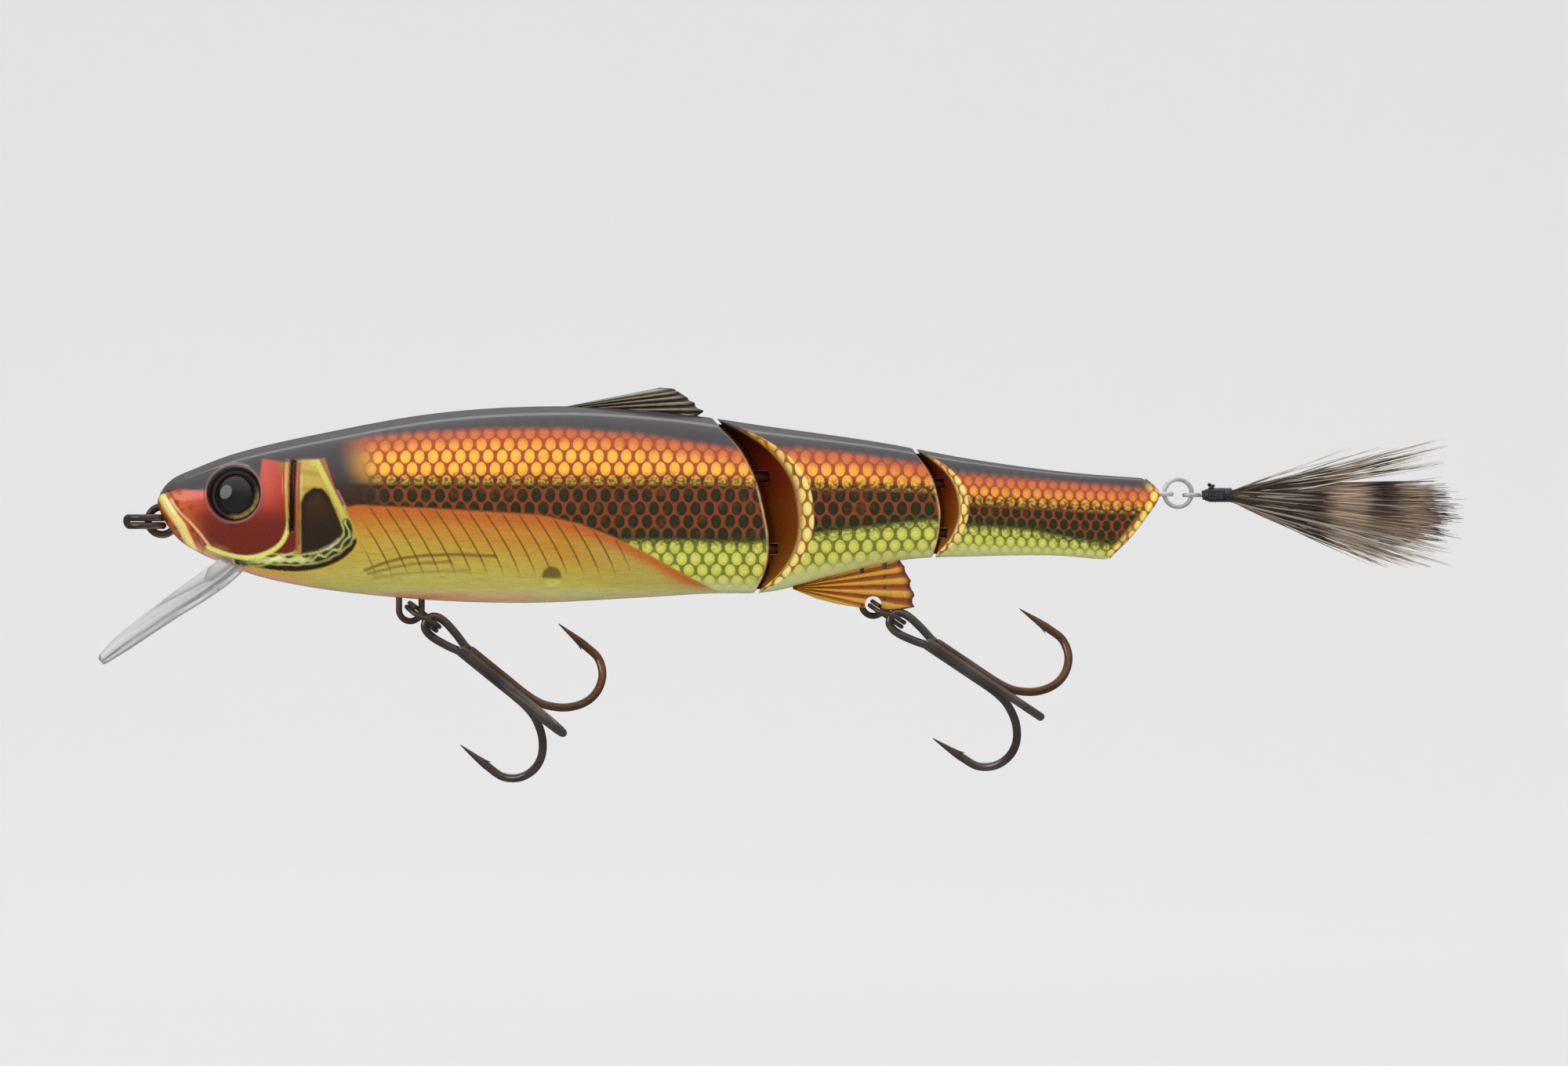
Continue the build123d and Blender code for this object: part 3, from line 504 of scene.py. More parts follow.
DARK_LOW = soften([(10.6, -5.0), (13.4, -5.35), (16.2, -5.4), (19.0, -4.9), (21.2, -3.7), (22.1, -2.5)])
GOLD_LOW = soften([(10.2, -5.3), (13.2, -5.8), (16.1, -5.95), (19.4, -5.3), (21.9, -3.8), (22.7, -2.2),
                   (22.2, -0.9), (21.0, 1.6)])
LILAC = soften([(20.3, 3.4), (21.4, 1.2), (22.6, -0.6), (23.6, -1.2)])
MOUTH = [(-0.1, 3.0), (0.9, 1.4), (2.4, -0.6), (3.6, -3.4)]
MOUTH_TWO = soften([(1.3, 2.4), (2.0, 1.2), (4.2, -0.9), (5.8, -3.1)])
EYE_PAINT = (8.55, 3.05)


def head_paint(x, z, cell, line, scales, speckle, gloss):
    """Cheek, gill cover, mouth and cap painted over the flank of the front section."""
    noise = np.sin(x * 3.1 + np.sin(z * 2.3)) * np.sin(z * 2.7 + np.sin(x * 1.9))
    throat = coats(plain(x, 196, 168, 66),
                   ((206, 186, 92), smooth(-6.2, -7.2, z)),
                   ((224, 156, 92), smooth(17, 9, x)),
                   ((232, 168, 124), smooth(0.9, 0.2, z - through(BELLY, x))))
    cell = over(cell, throat, smooth(25.0, 21.0, x + 0.3 * (z + 4)) * smooth(0.5, -0.5, z))
    face = smooth(-0.1, 0.1, region(FACE, x, z))
    snout = smooth(6.2, 3.4, x + 0.25 * (z + 2))
    cheek = coats(plain(x, 176, 56, 34),
                  # darker maroon low on the cheek: painted reflection of the dark horizon
                  ((108, 30, 12), smooth(3.4, -0.8, z) * 0.95),
                  # pink patch right of the eye: painted highlight
                  ((196, 80, 62), smooth(14.2, 11.8, x) * smooth(0.5, 3, z) * 0.8),
                  ((150, 108, 52), smooth(12.6, 14.4, x) * smooth(4.6, 6.2, z) * 0.8),
                  ((214, 150, 62), smooth(-3.9, -5.4, z + 0.12 * np.abs(x - 10))),
                  ((196, 92, 40), snout * 0.85),
                  ((120, 40, 16), snout * smooth(0.25, 0.6, noise) * 0.7),
                  ((214, 158, 70), smooth(-2.6, -3.6, z) * smooth(8.5, 4.5, x)))
    cell = over(cell, cheek, face)
    behind = smooth(27.0, 21.0, x + 0.35 * (z - 4)) * smooth(0.0, 1.6, z) * (1 - face)
    shade = over(plain(x, 60, 36, 24), linear(58, 54, 54), smooth(2.0, 6.5, z))
    cell, line = over(cell, shade, behind), over(line, shade, behind)
    mottled = smooth(0.3, 0.9, np.sin(z * 3.4 + 0.5 * x))
    plate, gill, rim = region(OPERCLE, x, z), region(GILL_INSIDE, x, z), line_distance(RIM_LOW, x, z)
    border = smooth(0.0, 0.12, plate) * smooth(0.75, 0.55, plate) * smooth(16.8, 17.8, x)
    patch = smooth(0.42, 0.22, rim + 0.16 * noise) * smooth(17.9, 16.4, x) * smooth(8.8, 11.4, x)
    squiggle = line_distance(RIM_LOW, x + 0.22 * np.sin(2.6 * z + 1.3 * x), z + 0.24 * np.sin(3.7 * x + 0.8))
    cap = smooth(-0.12, 0.22, region(CAP, x, z))
    eye = np.hypot(x - EYE_PAINT[0], z - EYE_PAINT[1])
    cell = coats(cell,
                 ((186, 160, 66), smooth(-0.05, 0.08, plate)),
                 ((160, 122, 44), smooth(-0.05, 0.1, plate) * mottled * 0.6),
                 ((196, 192, 84), border),
                 ((46, 30, 11), smooth(-0.12, 0.14, gill)),
                 ((74, 46, 18), smooth(0.1, 1.5, gill) * smooth(-1.0, 2.5, z) * 0.6),
                 ((44, 28, 12), stroke(DARK_LOW, x, z, 0.55, 0.3)),
                 ((48, 50, 20), smooth(0.66, 0.54, rim - 0.08 * noise)),
                 ((178, 172, 88), smooth(0.16, 0.07, np.abs(rim - 0.56 - 0.06 * noise))),
                 ((200, 206, 124), patch),
                 ((174, 182, 108), smooth(0.17, 0.08, squiggle) * smooth(16.2, 17.4, x)),
                 ((204, 168, 60), stroke(GOLD_LOW, x, z, 0.2, 0.1)),
                 ((196, 160, 180), stroke(LILAC, x, z, 0.14, 0.05) * 0.45),
                 ((186, 158, 66), stroke(CHEEK_BACK, x, z, 0.26, 0.14)),
                 ((222, 222, 110), stroke(CHEEK_BACK, x, z, 0.32, 0.18) * smooth(1.0, -2.0, z)),
                 ((24, 15, 12), stroke(GROOVE, x, z, 0.36, 0.22)),
                 ((150, 92, 52), stroke(RIDGE, x, z, 0.26, 0.14)),
                 ((238, 214, 128), stroke(MOUTH, x, z, 0.62, 0.44)),
                 ((232, 184, 128), stroke(MOUTH_TWO, x, z, 0.2, 0.1) * 0.9),
                 (CHARCOAL, cap),
                 ((140, 86, 96), smooth(3.46, 3.36, eye) * smooth(3.16, 3.28, eye) * 0.7),
                 ((34, 22, 18), smooth(3.2, 3.06, eye)))
    gloss = np.maximum(gloss * (1 - face), cap * 0.5)
    wash = smooth(21.5, 24.5, x + 0.3 * np.minimum(z, 0)) * (1 - np.clip(face + 0.7 * behind, 0, 1))
    return cell, line, scales * wash, speckle * wash, gloss


RIB_BEND = soften([(-9, 4.1), (-7, 3.95), (-5.2, 3.5), (-2.3, 2.1), (1.2, -0.2), (2.5, -1.1)])
RIB_PITCH = 1.8
FIN_MARKS = [soften([(23.2, -5.6), (27.0, -4.2), (32.0, -3.75), (38.0, -4.0)]),
             soften([(23.6, -6.0), (28.0, -4.9), (33.0, -4.6)]),
             soften([(24.2, -6.4), (29.0, -5.8), (35.0, -5.6)])]
ROUND_MARK = (44.25, -6.3)


def ribs_at(x, z):
    """Number of ribs passed at each point, and how far ribs show there."""
    seen = smooth(-7.0, -4.0, z) * smooth(22.6, 24.5, x) * smooth(56, 50, x)
    return (x - steps(RIB_BEND, z)) / RIB_PITCH, seen


def field_paint(x, z, cell, scales, speckle):
    """The smooth belly panel behind the gill with its ribs, fin marks and round mark."""
    depth = steps(FIELD_TOP, x) - z
    inside = smooth(0.12, -0.18, -depth) * smooth(0.1, -0.1, region(FACE, x, z))
    inside = inside * smooth(14.5, 19.5, x + 0.4 * (z + 7))
    mark = np.hypot(x - ROUND_MARK[0], z - ROUND_MARK[1])
    panel = coats(plain(x, 196, 104, 30),
                  ((200, 140, 40), smooth(0.6, 2.6, depth)),
                  ((196, 170, 62), smooth(2.2, 4.8, depth - smooth(26, 44, x))),
                  ((196, 186, 88), smooth(5.2, 8.0, depth + 1.5 * smooth(46, 58, x))),
                  ((178, 190, 92), smooth(44, 56, x) * smooth(0.4, 2.0, depth) * 0.6),
                  ((206, 200, 128), smooth(-7.0, -8.4, z)),
                  ((232, 168, 124), smooth(-7.6, -8.7, z) * smooth(50, 30, x)))
    for k, run in enumerate(FIN_MARKS):
        panel = coats(panel, ((112, 58, 18), stroke(run, x, z, 0.24, 0.1) * (0.75 - 0.2 * k)))
    # round mark: darker upper half and lighter lower half, painted shadow and highlight of the dimple
    panel = coats(panel, ((112, 100, 34), smooth(1.2, 1.0, mark) * smooth(-7.2, -6.2, z)),
                  ((214, 204, 96), smooth(1.2, 1.0, mark) * smooth(-6.3, -6.9, z)))
    phase, seen = ribs_at(x, z)
    ribs = inside * smooth(0.0, 0.5, depth) * seen
    keep = 1 - inside
    return over(cell, panel, inside), scales * keep, speckle * keep, phase, ribs, inside


# ---- body skins ----
def section_at(x, phi):
    """Half width and height of the skin at each x and angle from the back."""
    top, bottom, half = through(BACK, x), through(BELLY, x), through(HALF_WIDTH, x)
    waist = top - WAIST * (top - bottom)
    up = np.cos(phi)
    z = waist + np.where(up > 0, top - waist, waist - bottom) * up
    return half * np.sin(phi), z


def even_angles(count):
    """Angles that space points evenly round a typical section."""
    fine = np.linspace(0, np.pi, 2000)
    y, z = section_at(np.full(2000, 31.0), fine)
    run = np.concatenate([[0], np.cumsum(np.hypot(np.diff(y), np.diff(z)))])
    return np.interp(np.linspace(0, run[-1], count), run, fine)


def solve_end(phi, rule):
    """x at which a section ends at each angle, where the rule gives x from y and z."""
    x = np.full(phi.shape, rule(np.zeros(phi.shape), np.full(phi.shape, 2.0)))
    for _ in range(30):
        y, z = section_at(x, phi)
        x = 0.5 * x + 0.5 * rule(y, z)
    return x


def front_rule(table):
    """Rule of a wedge face behind an end curve, sloping back from the middle."""
    def rule(y, z):
        edge = end_at(table, z)
        return np.maximum(edge + JOINT_GAP, edge - TONGUE_LAP + WEDGE_SLOPE * y)
    return rule


# hinges: pin X, radius cleared round the pin, half of the width and height of an eye's slot, eye heights
FRONT_HINGE = (71.8, 1.75, 0.63, (-3.2, 5.0))
REAR_HINGE = (90.9, 1.51, 0.56, (-1.4, 4.2))
SLOT_SPREAD = math.tan(math.radians(31))
EDGE_SNAP = 0.004


def hinge_of(table):
    return FRONT_HINGE if table is FRONT_END else REAR_HINGE


def slot_side(hinge, edge, widest):
    """Plan of one side of an eye's slot, from its mouth on the wedge face round the pin to the middle."""
    pin_x, radius, half, _ = hinge
    mouth_y = (half + (pin_x - edge + TONGUE_LAP) * SLOT_SPREAD) / (1 + WEDGE_SLOPE * SLOT_SPREAD)
    mouth_y = np.minimum(mouth_y, widest)
    mouth_x = edge - TONGUE_LAP + WEDGE_SLOPE * mouth_y
    a, b, c = 1 + SLOT_SPREAD**2, 2 * half * SLOT_SPREAD, half**2 - radius**2
    neck = (-b + math.sqrt(b * b - 4 * a * c)) / (2 * a)
    ends = [(pin_x - neck, half + neck * SLOT_SPREAD)]
    ends += [(pin_x + radius * math.sin(t), radius * math.cos(t)) for t in (0, math.pi / 4, math.pi / 2)]
    return [(mouth_x, mouth_y)] + [(np.full(edge.shape, ex), np.full(edge.shape, ey)) for ex, ey in ends]


ON_SKIN, ON_BEND, ON_REAR, ON_WEDGE = range(4)
END_FILLET = 0.55
SKIN_GAP = 0.05
NOSE_X, NOSE_Z, NOSE_BULGE = -0.3, 2.0, 0.18
WIDE_BEND, NARROW_BEND = 0.85, 0.42


def nose_rows(first, x_start):
    """Rows that close the front of the head, and where they lie along the paint."""
    rows = []
    for t in (0.82, 0.55, 0.25, 0.0):
        row = first * [1, t, 1]
        row[:, 2] = NOSE_Z + (row[:, 2] - NOSE_Z) * (t if t else 0.25)
        row[:, 0] -= NOSE_BULGE * math.sqrt(1 - t * t)
        rows.append((row, x_start, ON_SKIN))
    return rows


def wedge_rows(first, x_start, phi, lip, front, bend_length):
    """Rows of a wedge face: a bend from the skin, then a flat fall to the seam, open at the hinge eyes."""
    y, z = section_at(x_start, phi)
    corner = xyz(x_start, -y, z)
    edge = end_at(front, z)
    foot = xyz(edge + JOINT_GAP, -np.minimum(y, (TONGUE_LAP + JOINT_GAP) / WEDGE_SLOPE), z)
    fall = foot - corner
    run = np.linalg.norm(fall, axis=1)
    turn = np.minimum(bend_length, 0.5 * run)
    on_face = corner + fall * (turn / np.maximum(run, 1e-6))[:, None]
    rows = []
    for t in (0.85, 0.7, 0.55, 0.4, 0.25, 0.12, 0.0):
        bend = on_face * (1 - t) ** 2 + corner * 2 * t * (1 - t) + first * t * t
        rows.append((bend, x_start - turn + (turn + lip) * t, ON_BEND))
    hinge = hinge_of(front)
    half, heights = hinge[2:]
    from_eye = np.minimum(np.abs(z - heights[0]), np.abs(z - heights[1]))
    open_here = (from_eye < half) & (y > 1.3)
    level = z.copy()
    for height in heights:
        inside = np.flatnonzero(np.abs(z - height) < half)
        level[[inside[0] - 1, inside[0]]] = height + half + EDGE_SNAP, height + half
        level[[inside[-1], inside[-1] + 1]] = height - half, height - half - EDGE_SNAP
    sides = slot_side(hinge, edge, -0.95 * on_face[:, 1])
    slot = [on_face * 0.8 + foot * 0.2] + [xyz(sx, -sy, z) for sx, sy in sides]
    centre = foot.copy()
    centre[:, 1] = 0
    closed = [on_face * (1 - t) + foot * t for t in (0.2, 0.4, 0.6, 0.8, 1.0)] + [centre]
    for k, (opened, shut) in enumerate(zip(slot, closed)):
        row = np.where(open_here[:, None], opened, shut)
        if k:
            row[:, 2] = np.where(level != z, level, row[:, 2])
        rows.append((row, x_start - turn - 1.3 - k, ON_WEDGE))
    return rows


def rear_rows(last, normal, rear):
    """Rows behind the rear edge: the recess wall and floor, or the flat end of the tail."""
    if rear is TAIL_END:
        flat = last.copy()
        flat[:, 1] = 0
        flat[:, 0] = end_at(rear, flat[:, 2])
        return [flat]
    wall = last - normal * (WALL + SKIN_GAP)
    wall[:, 1] = np.minimum(wall[:, 1], 0)
    wall[:, 0] = end_at(rear, wall[:, 2])
    floor = wall.copy()
    floor[:, 0] -= RECESS_DEPTH + SKIN_GAP
    middle = floor.copy()
    middle[:, 1] = 0
    return [wall, floor, middle]


def skin_colours(x, z, kinds, x_start, front, rear):
    """Cell and line colours, then scale, speckle and gloss marks, then rib phase, rib depth and streaks."""
    shown_at = np.where(kinds == ON_WEDGE, x_start + 1.0, x) if front else x
    cell, line, scales, speckle, gloss = bands(shown_at, z)
    phase, ribs, streak = np.zeros((3,) + z.shape)
    if front:
        # the bend carries one or two columns of scales painted bright, a painted highlight on the rounded
        # edge; the face is smooth and brown
        tall = np.clip((z - z.min()) / (z.max() - z.min()), 0, 1)
        bend_highlight = (kinds == ON_BEND) * smooth(0.97, 0.86, tall)
        cell = over(cell, coats(plain(z, 236, 212, 122), ((232, 150, 44), smooth(0.7, 0.9, tall))), bend_highlight)
        line = over(line, linear(150, 96, 22), bend_highlight)
        scales = np.where(bend_highlight > 0, 1.0, scales)
        speckle = speckle * (1 - bend_highlight)
        face_colour = coats(plain(z, 118, 56, 12), ((100, 32, 10), smooth(0.45, 0.68, tall)),
                            ((46, 16, 12), smooth(0.68, 0.9, tall)),
                            ((132, 82, 24), smooth(0.35, 0.05, tall)))
        face = (kinds == ON_WEDGE) * 1.0
        cell = over(cell, face_colour, face)
        scales, speckle, gloss = scales * (1 - face), speckle * (1 - face), gloss * (1 - face)
    else:
        cell, line, scales, speckle, gloss = head_paint(x, z, cell, line, scales, speckle, gloss)
        cell, scales, speckle, phase, ribs, streak = field_paint(x, z, cell, scales, speckle)
    behind = (kinds == ON_REAR) * 1.0
    cell = over(cell, linear(92, 48, 16), behind)
    scales, speckle, ribs = scales * (1 - behind), speckle * (1 - behind), ribs * (1 - behind)
    from_edge = np.abs(end_at(rear, z) - x)
    if rear is TAIL_END:
        tip = smooth(1.5, 0.5, from_edge) * smooth(4.6, 3.2, z) * smooth(-4.3, -3.4, z)
        cell = coats(cell, ((246, 214, 96), tip), ((246, 190, 70), behind * smooth(4.6, 3.6, z)))
        line = over(line, linear(176, 104, 26), tip)
        scales = np.where(tip + behind > 0.2, smooth(4.8, 3.8, z), scales)
        speckle = speckle * (1 - tip)
    else:
        # pale band along the rear edge: painted highlight on the rounded end
        rim = smooth(0.42, 0.12, from_edge) * (1 - behind) * smooth(11.6, 8.5, z + (2.5 if front else 0))
        cell = over(cell, linear(236, 196, 140), rim * 0.9)
        line = over(line, linear(214, 166, 112), rim)
    return cell, line, (scales, speckle, gloss), (phase, ribs, streak)


def skin(name, side, body, material, columns, phi_count, front, rear, reference, replaces):
    """One moulded half of a section: outer skin, rounded ends, joint faces and the flat of its seam."""
    phi = even_angles(phi_count)
    x_end = solve_end(phi, lambda y, z: end_at(rear, z))
    x_start = solve_end(phi, front_rule(front)) if front else np.full(phi.shape, NOSE_X)
    lip = np.minimum(0.5, 0.3 * (x_end - x_start))
    start = x_start + (lip if front else 0)
    grid_x = np.array([start] + [start + (x_end - start) * u for u in columns[1:-1]] + [x_end])
    y, z = section_at(grid_x, np.broadcast_to(phi, grid_x.shape))
    points = np.stack([grid_x, -y, z], axis=2)
    normal = np.cross(np.gradient(points, axis=0), np.gradient(points, axis=1))
    normal /= np.maximum(np.linalg.norm(normal, axis=2), 1e-9)[..., None]
    normal *= np.sign(np.sum(normal * np.stack([0 * y, -y, z - 2.5], axis=2), axis=2).sum())
    normal[:, 0] = [0, 0, 1]
    normal[:, -1] = [0, 0, -1]
    near = np.clip(END_FILLET - np.clip(x_end[None] - grid_x, 0, None), 0, END_FILLET)
    shift = -(END_FILLET - np.sqrt(END_FILLET**2 - near**2))
    if not front:
        shift = shift + head_relief(points, grid_x, z, y)
    moved = points + normal * shift[..., None]
    moved[:, [0, -1], 1] = 0
    moved[..., 1] = np.minimum(moved[..., 1], 0)
    arc = np.cumsum(np.hypot(np.diff(y, axis=1), np.diff(z, axis=1)), axis=1)
    arc = np.concatenate([np.zeros((len(grid_x), 1)), arc], axis=1)
    across = np.array([np.interp(-steps(reference, xs.mean()), -zs, run) - run
                       for xs, zs, run in zip(grid_x, z, arc)])
    rows, along, level = list(moved), list(grid_x), list(across)
    kind = [np.full(phi.shape, ON_SKIN)] * len(rows)

    for row in rear_rows(points[-1], normal[-1], rear):
        row[0, 1] = row[-1, 1] = 0
        rows.append(row)
        along.append(x_end)
        level.append(across[-1])
        kind.append(np.full(phi.shape, ON_REAR))
    if front:
        bend_length = WIDE_BEND if rear is MID_END else NARROW_BEND
        before = wedge_rows(moved[0], x_start, phi, lip, front, bend_length)
    else:
        before = nose_rows(moved[0], x_start)
    for row, where, mark in before:
        row[0, 1] = row[-1, 1] = 0
        rows.insert(0, row)
        along.insert(0, where)
        level.insert(0, across[0])
        kind.insert(0, np.full(phi.shape, mark))

    verts = np.array(rows)
    count, width = verts.shape[:2]
    cell, line, marks, ribs = skin_colours(verts[..., 0], verts[..., 2], np.array(kind), x_start, front, rear)
    faces = grid_faces(count, width)
    loop = [i * width for i in range(count)]
    loop += [(count - 1) * width + j for j in range(1, width)]
    loop += [i * width + width - 1 for i in range(count - 2, -1, -1)]
    loop += list(range(width - 2, 0, -1))
    faces.append(tuple(loop))
    if side > 0:
        verts[..., 1] *= -1
    obj = piece(name, verts.reshape(-1, 3), faces, body, material, replaces, sharp=55)
    coordinates(obj, "flat", np.stack([np.array(along), np.array(level)], axis=2).reshape(-1, 2))
    for layer, values in (("cell", cell), ("line", line), ("marks", np.stack(marks, axis=2)),
                          ("ribs", np.stack(ribs, axis=2))):
        paint(obj, layer, values.reshape(-1, 3))


RELIEF = [(0.22, CHEEK_BACK, 0.5, 0.1), (-0.4, GROOVE, 0.42, 0.1), (0.2, RIDGE, 0.36, 0.05),
          (-0.22, DARK_LOW, 0.5, 0.1), (0.16, MOUTH, 0.5, 0.2),
          (-0.2, [(x + 0.95, z + 0.1) for x, z in MOUTH], 0.35, 0.08), (0.12, MOUTH_TWO, 0.3, 0.08)]


def head_relief(points, x, z, y):
    """Height of the moulded head details over the plain form."""
    around = points - EYE_CENTRE
    along = around @ EYE_AXIS
    radial = np.linalg.norm(around - along[..., None] * EYE_AXIS, axis=2)
    near_eye = along > -3.5
    shift = 0.16 * np.exp(-((radial - 3.28) / 0.24) ** 2) * near_eye
    shift -= 1.3 * smooth(3.02, 2.86, radial) * near_eye
    shift += 0.28 * smooth(-0.15, 0.25, region(OPERCLE, x, z))
    shift -= 0.34 * smooth(-0.1, 0.5, region(GILL_INSIDE, x, z))
    shift += 0.2 * smooth(0.6, 0.15, line_distance(RIM_LOW, x, z) - 0.1 * np.sin(3.3 * x))
    for height, run, outer, inner in RELIEF:
        shift += height * stroke(run, x, z, outer, inner)
    inside = smooth(0.15, -0.2, z - steps(FIELD_TOP, x)) * smooth(21.0, 22.0, x)
    shift -= 0.1 * inside
    phase, seen = ribs_at(x, z)
    shift -= 0.07 * smooth(0.12, 0.0, np.abs(phase - np.floor(phase) - 0.5)) * inside * seen
    shift -= 0.12 * smooth(1.25, 0.95, np.hypot(x - ROUND_MARK[0], z - ROUND_MARK[1]))
    return shift * smooth(0.4, 1.6, y)


foil = foil_look("foil_print_and_painted_light_coarse", 1.55, 1.48)
foil_fine = foil_look("foil_print_and_painted_light_fine", 1.2, 1.12)
FRONT_COLUMNS = np.concatenate([np.arange(0, 23.0, 0.13), np.arange(23.0, 67.3, 0.22),
                                np.linspace(67.45, 68.0, 7)]) / 68.0
MID_COLUMNS = np.concatenate([np.linspace(0, 0.96, 80), np.linspace(0.966, 1, 9)])
TAIL_COLUMNS = np.concatenate([np.linspace(0, 0.96, 90), np.linspace(0.966, 1, 9)])
LEVEL = [(0, 4.31), (120, 4.31)]
TAIL_LEVEL = [(86, 4.75), (96, 4.15), (104, 3.85), (114, 3.7)]
SECTIONS = [("front", foil, FRONT_COLUMNS, 190, None, FRONT_END, LEVEL),
            ("mid", foil, MID_COLUMNS, 130, FRONT_END, MID_END, LEVEL),
            ("tail", foil_fine, TAIL_COLUMNS, 100, MID_END, TAIL_END, TAIL_LEVEL)]
for label, side in (("left", -1), ("right", 1)):
    for part, *shape in SECTIONS:
        skin(f"{part}_skin_{label}", side, f"{part}_body", *shape, [f"{part}_shell_{label}"])


# ---- tongues that lap inside the section ahead ----
RIDGE_LAP = 0.26
TONGUE_ROOT = 0.3


def tongue(name, body, table, z_low, z_from, z_to, z_high):
    """Front of a wedge: deep from z_from to z_to, a shallow ridge beyond, open at the hinge eyes."""
    _, _, eye_half, heights = hinge_of(table)
    stops = [z_low]
    for height in heights:
        stops += [height - eye_half, height + eye_half]
    stops.append(z_high)
    solids = []
    count = 24
    for low, high in zip(stops[::2], stops[1::2]):
        levels = np.linspace(low, high, count)
        edge = end_at(table, levels)
        deep = smooth(z_from - 0.3, z_from, levels) * smooth(z_to + 0.3, z_to, levels)
        lap = RIDGE_LAP + (TONGUE_LAP - RIDGE_LAP) * deep
        half = (lap + JOINT_GAP) / WEDGE_SLOPE + 0.02
        one_side = [(-JOINT_GAP - TONGUE_ROOT, 1), (-JOINT_GAP, 1),
                    (lap - 0.2 * lap, 0.26), (lap - 0.08 * lap, 0.1)]
        outline = one_side + [(ahead, -y) for ahead, y in reversed(one_side)]
        rows = [xyz(edge - ahead, y * half, levels) for ahead, y in outline]
        faces = grid_faces(8, count, close_rows=True)
        faces.append(tuple(k * count for k in range(8)))
        faces.append(tuple(k * count + count - 1 for k in reversed(range(8))))
        solids.append((np.array(rows).reshape(-1, 3), faces))
    verts, faces = merge(solids)
    piece(name, verts, faces, body, amber.mat, sharp=50)


def hinge_eyes(name, body, table, wire, root_x, node):
    """Flattened wire eyes of a hinge: a loop round the pin and a shank back into the section ahead."""
    pin_x, cleared, half, heights = hinge_of(table)
    ring = cleared - 0.18 - wire
    turn = all_round(40)
    solids = []
    for z in heights:
        loop = xyz(pin_x + ring * np.cos(turn), ring * np.sin(turn), np.full(40, z))
        shank = xyz(np.linspace(root_x, pin_x - ring, 12), np.zeros(12), np.full(12, z))
        for path, closed in ((loop, True), (shank, False)):
            verts, faces = tube(path, wire, 16, closed)
            verts[:, 2] = z + (verts[:, 2] - z) * (half - 0.008) / wire
            solids.append((verts, faces))
    verts, faces = merge(solids)
    obj = piece(name, verts, faces, body, browned.mat, [node], sharp=60)
    # colour darker towards the top, as on the joint face, and lightened to offset the shade in the slot:
    # painted light
    tall = smooth(-4.0, 5.5, verts[:, 2])
    paint(obj, "cell", coats(plain(tall, 140, 74, 20), ((104, 36, 14), tall)))


amber = Look("smoked_amber_plastic", Coat_Weight=0.8, Coat_Roughness=0.05)
amber.mottle(400, 3, 0.3, 0.7, rgba(66, 26, 8), rgba(92, 40, 12))
amber.wear(2600, 2, 0.25, 0.4)
browned = Look("browned_wire", Metallic=0.3)
browned.mottle(900, 3, 0.3, 0.7, browned.attribute("cell").outputs["Color"], rgba(108, 50, 20))
browned.wear(3000, 2, 0.35, 0.55)
hinge_eyes("front_hinge_eyes", "front_body", FRONT_END, 0.45, 63.0, "front_joint_eyes")
hinge_eyes("rear_hinge_eyes", "mid_body", MID_END, 0.38, 85.3, "rear_joint_eyes")
tongue("mid_tongue", "mid_body", FRONT_END, -7.75, -5.0, 6.4, 10.9)
tongue("tail_tongue", "tail_body", MID_END, -3.75, -1.6, 4.5, 7.6)


# ---- fins ----
SIDE_TAPER, TIP_TAPER = 7, 14


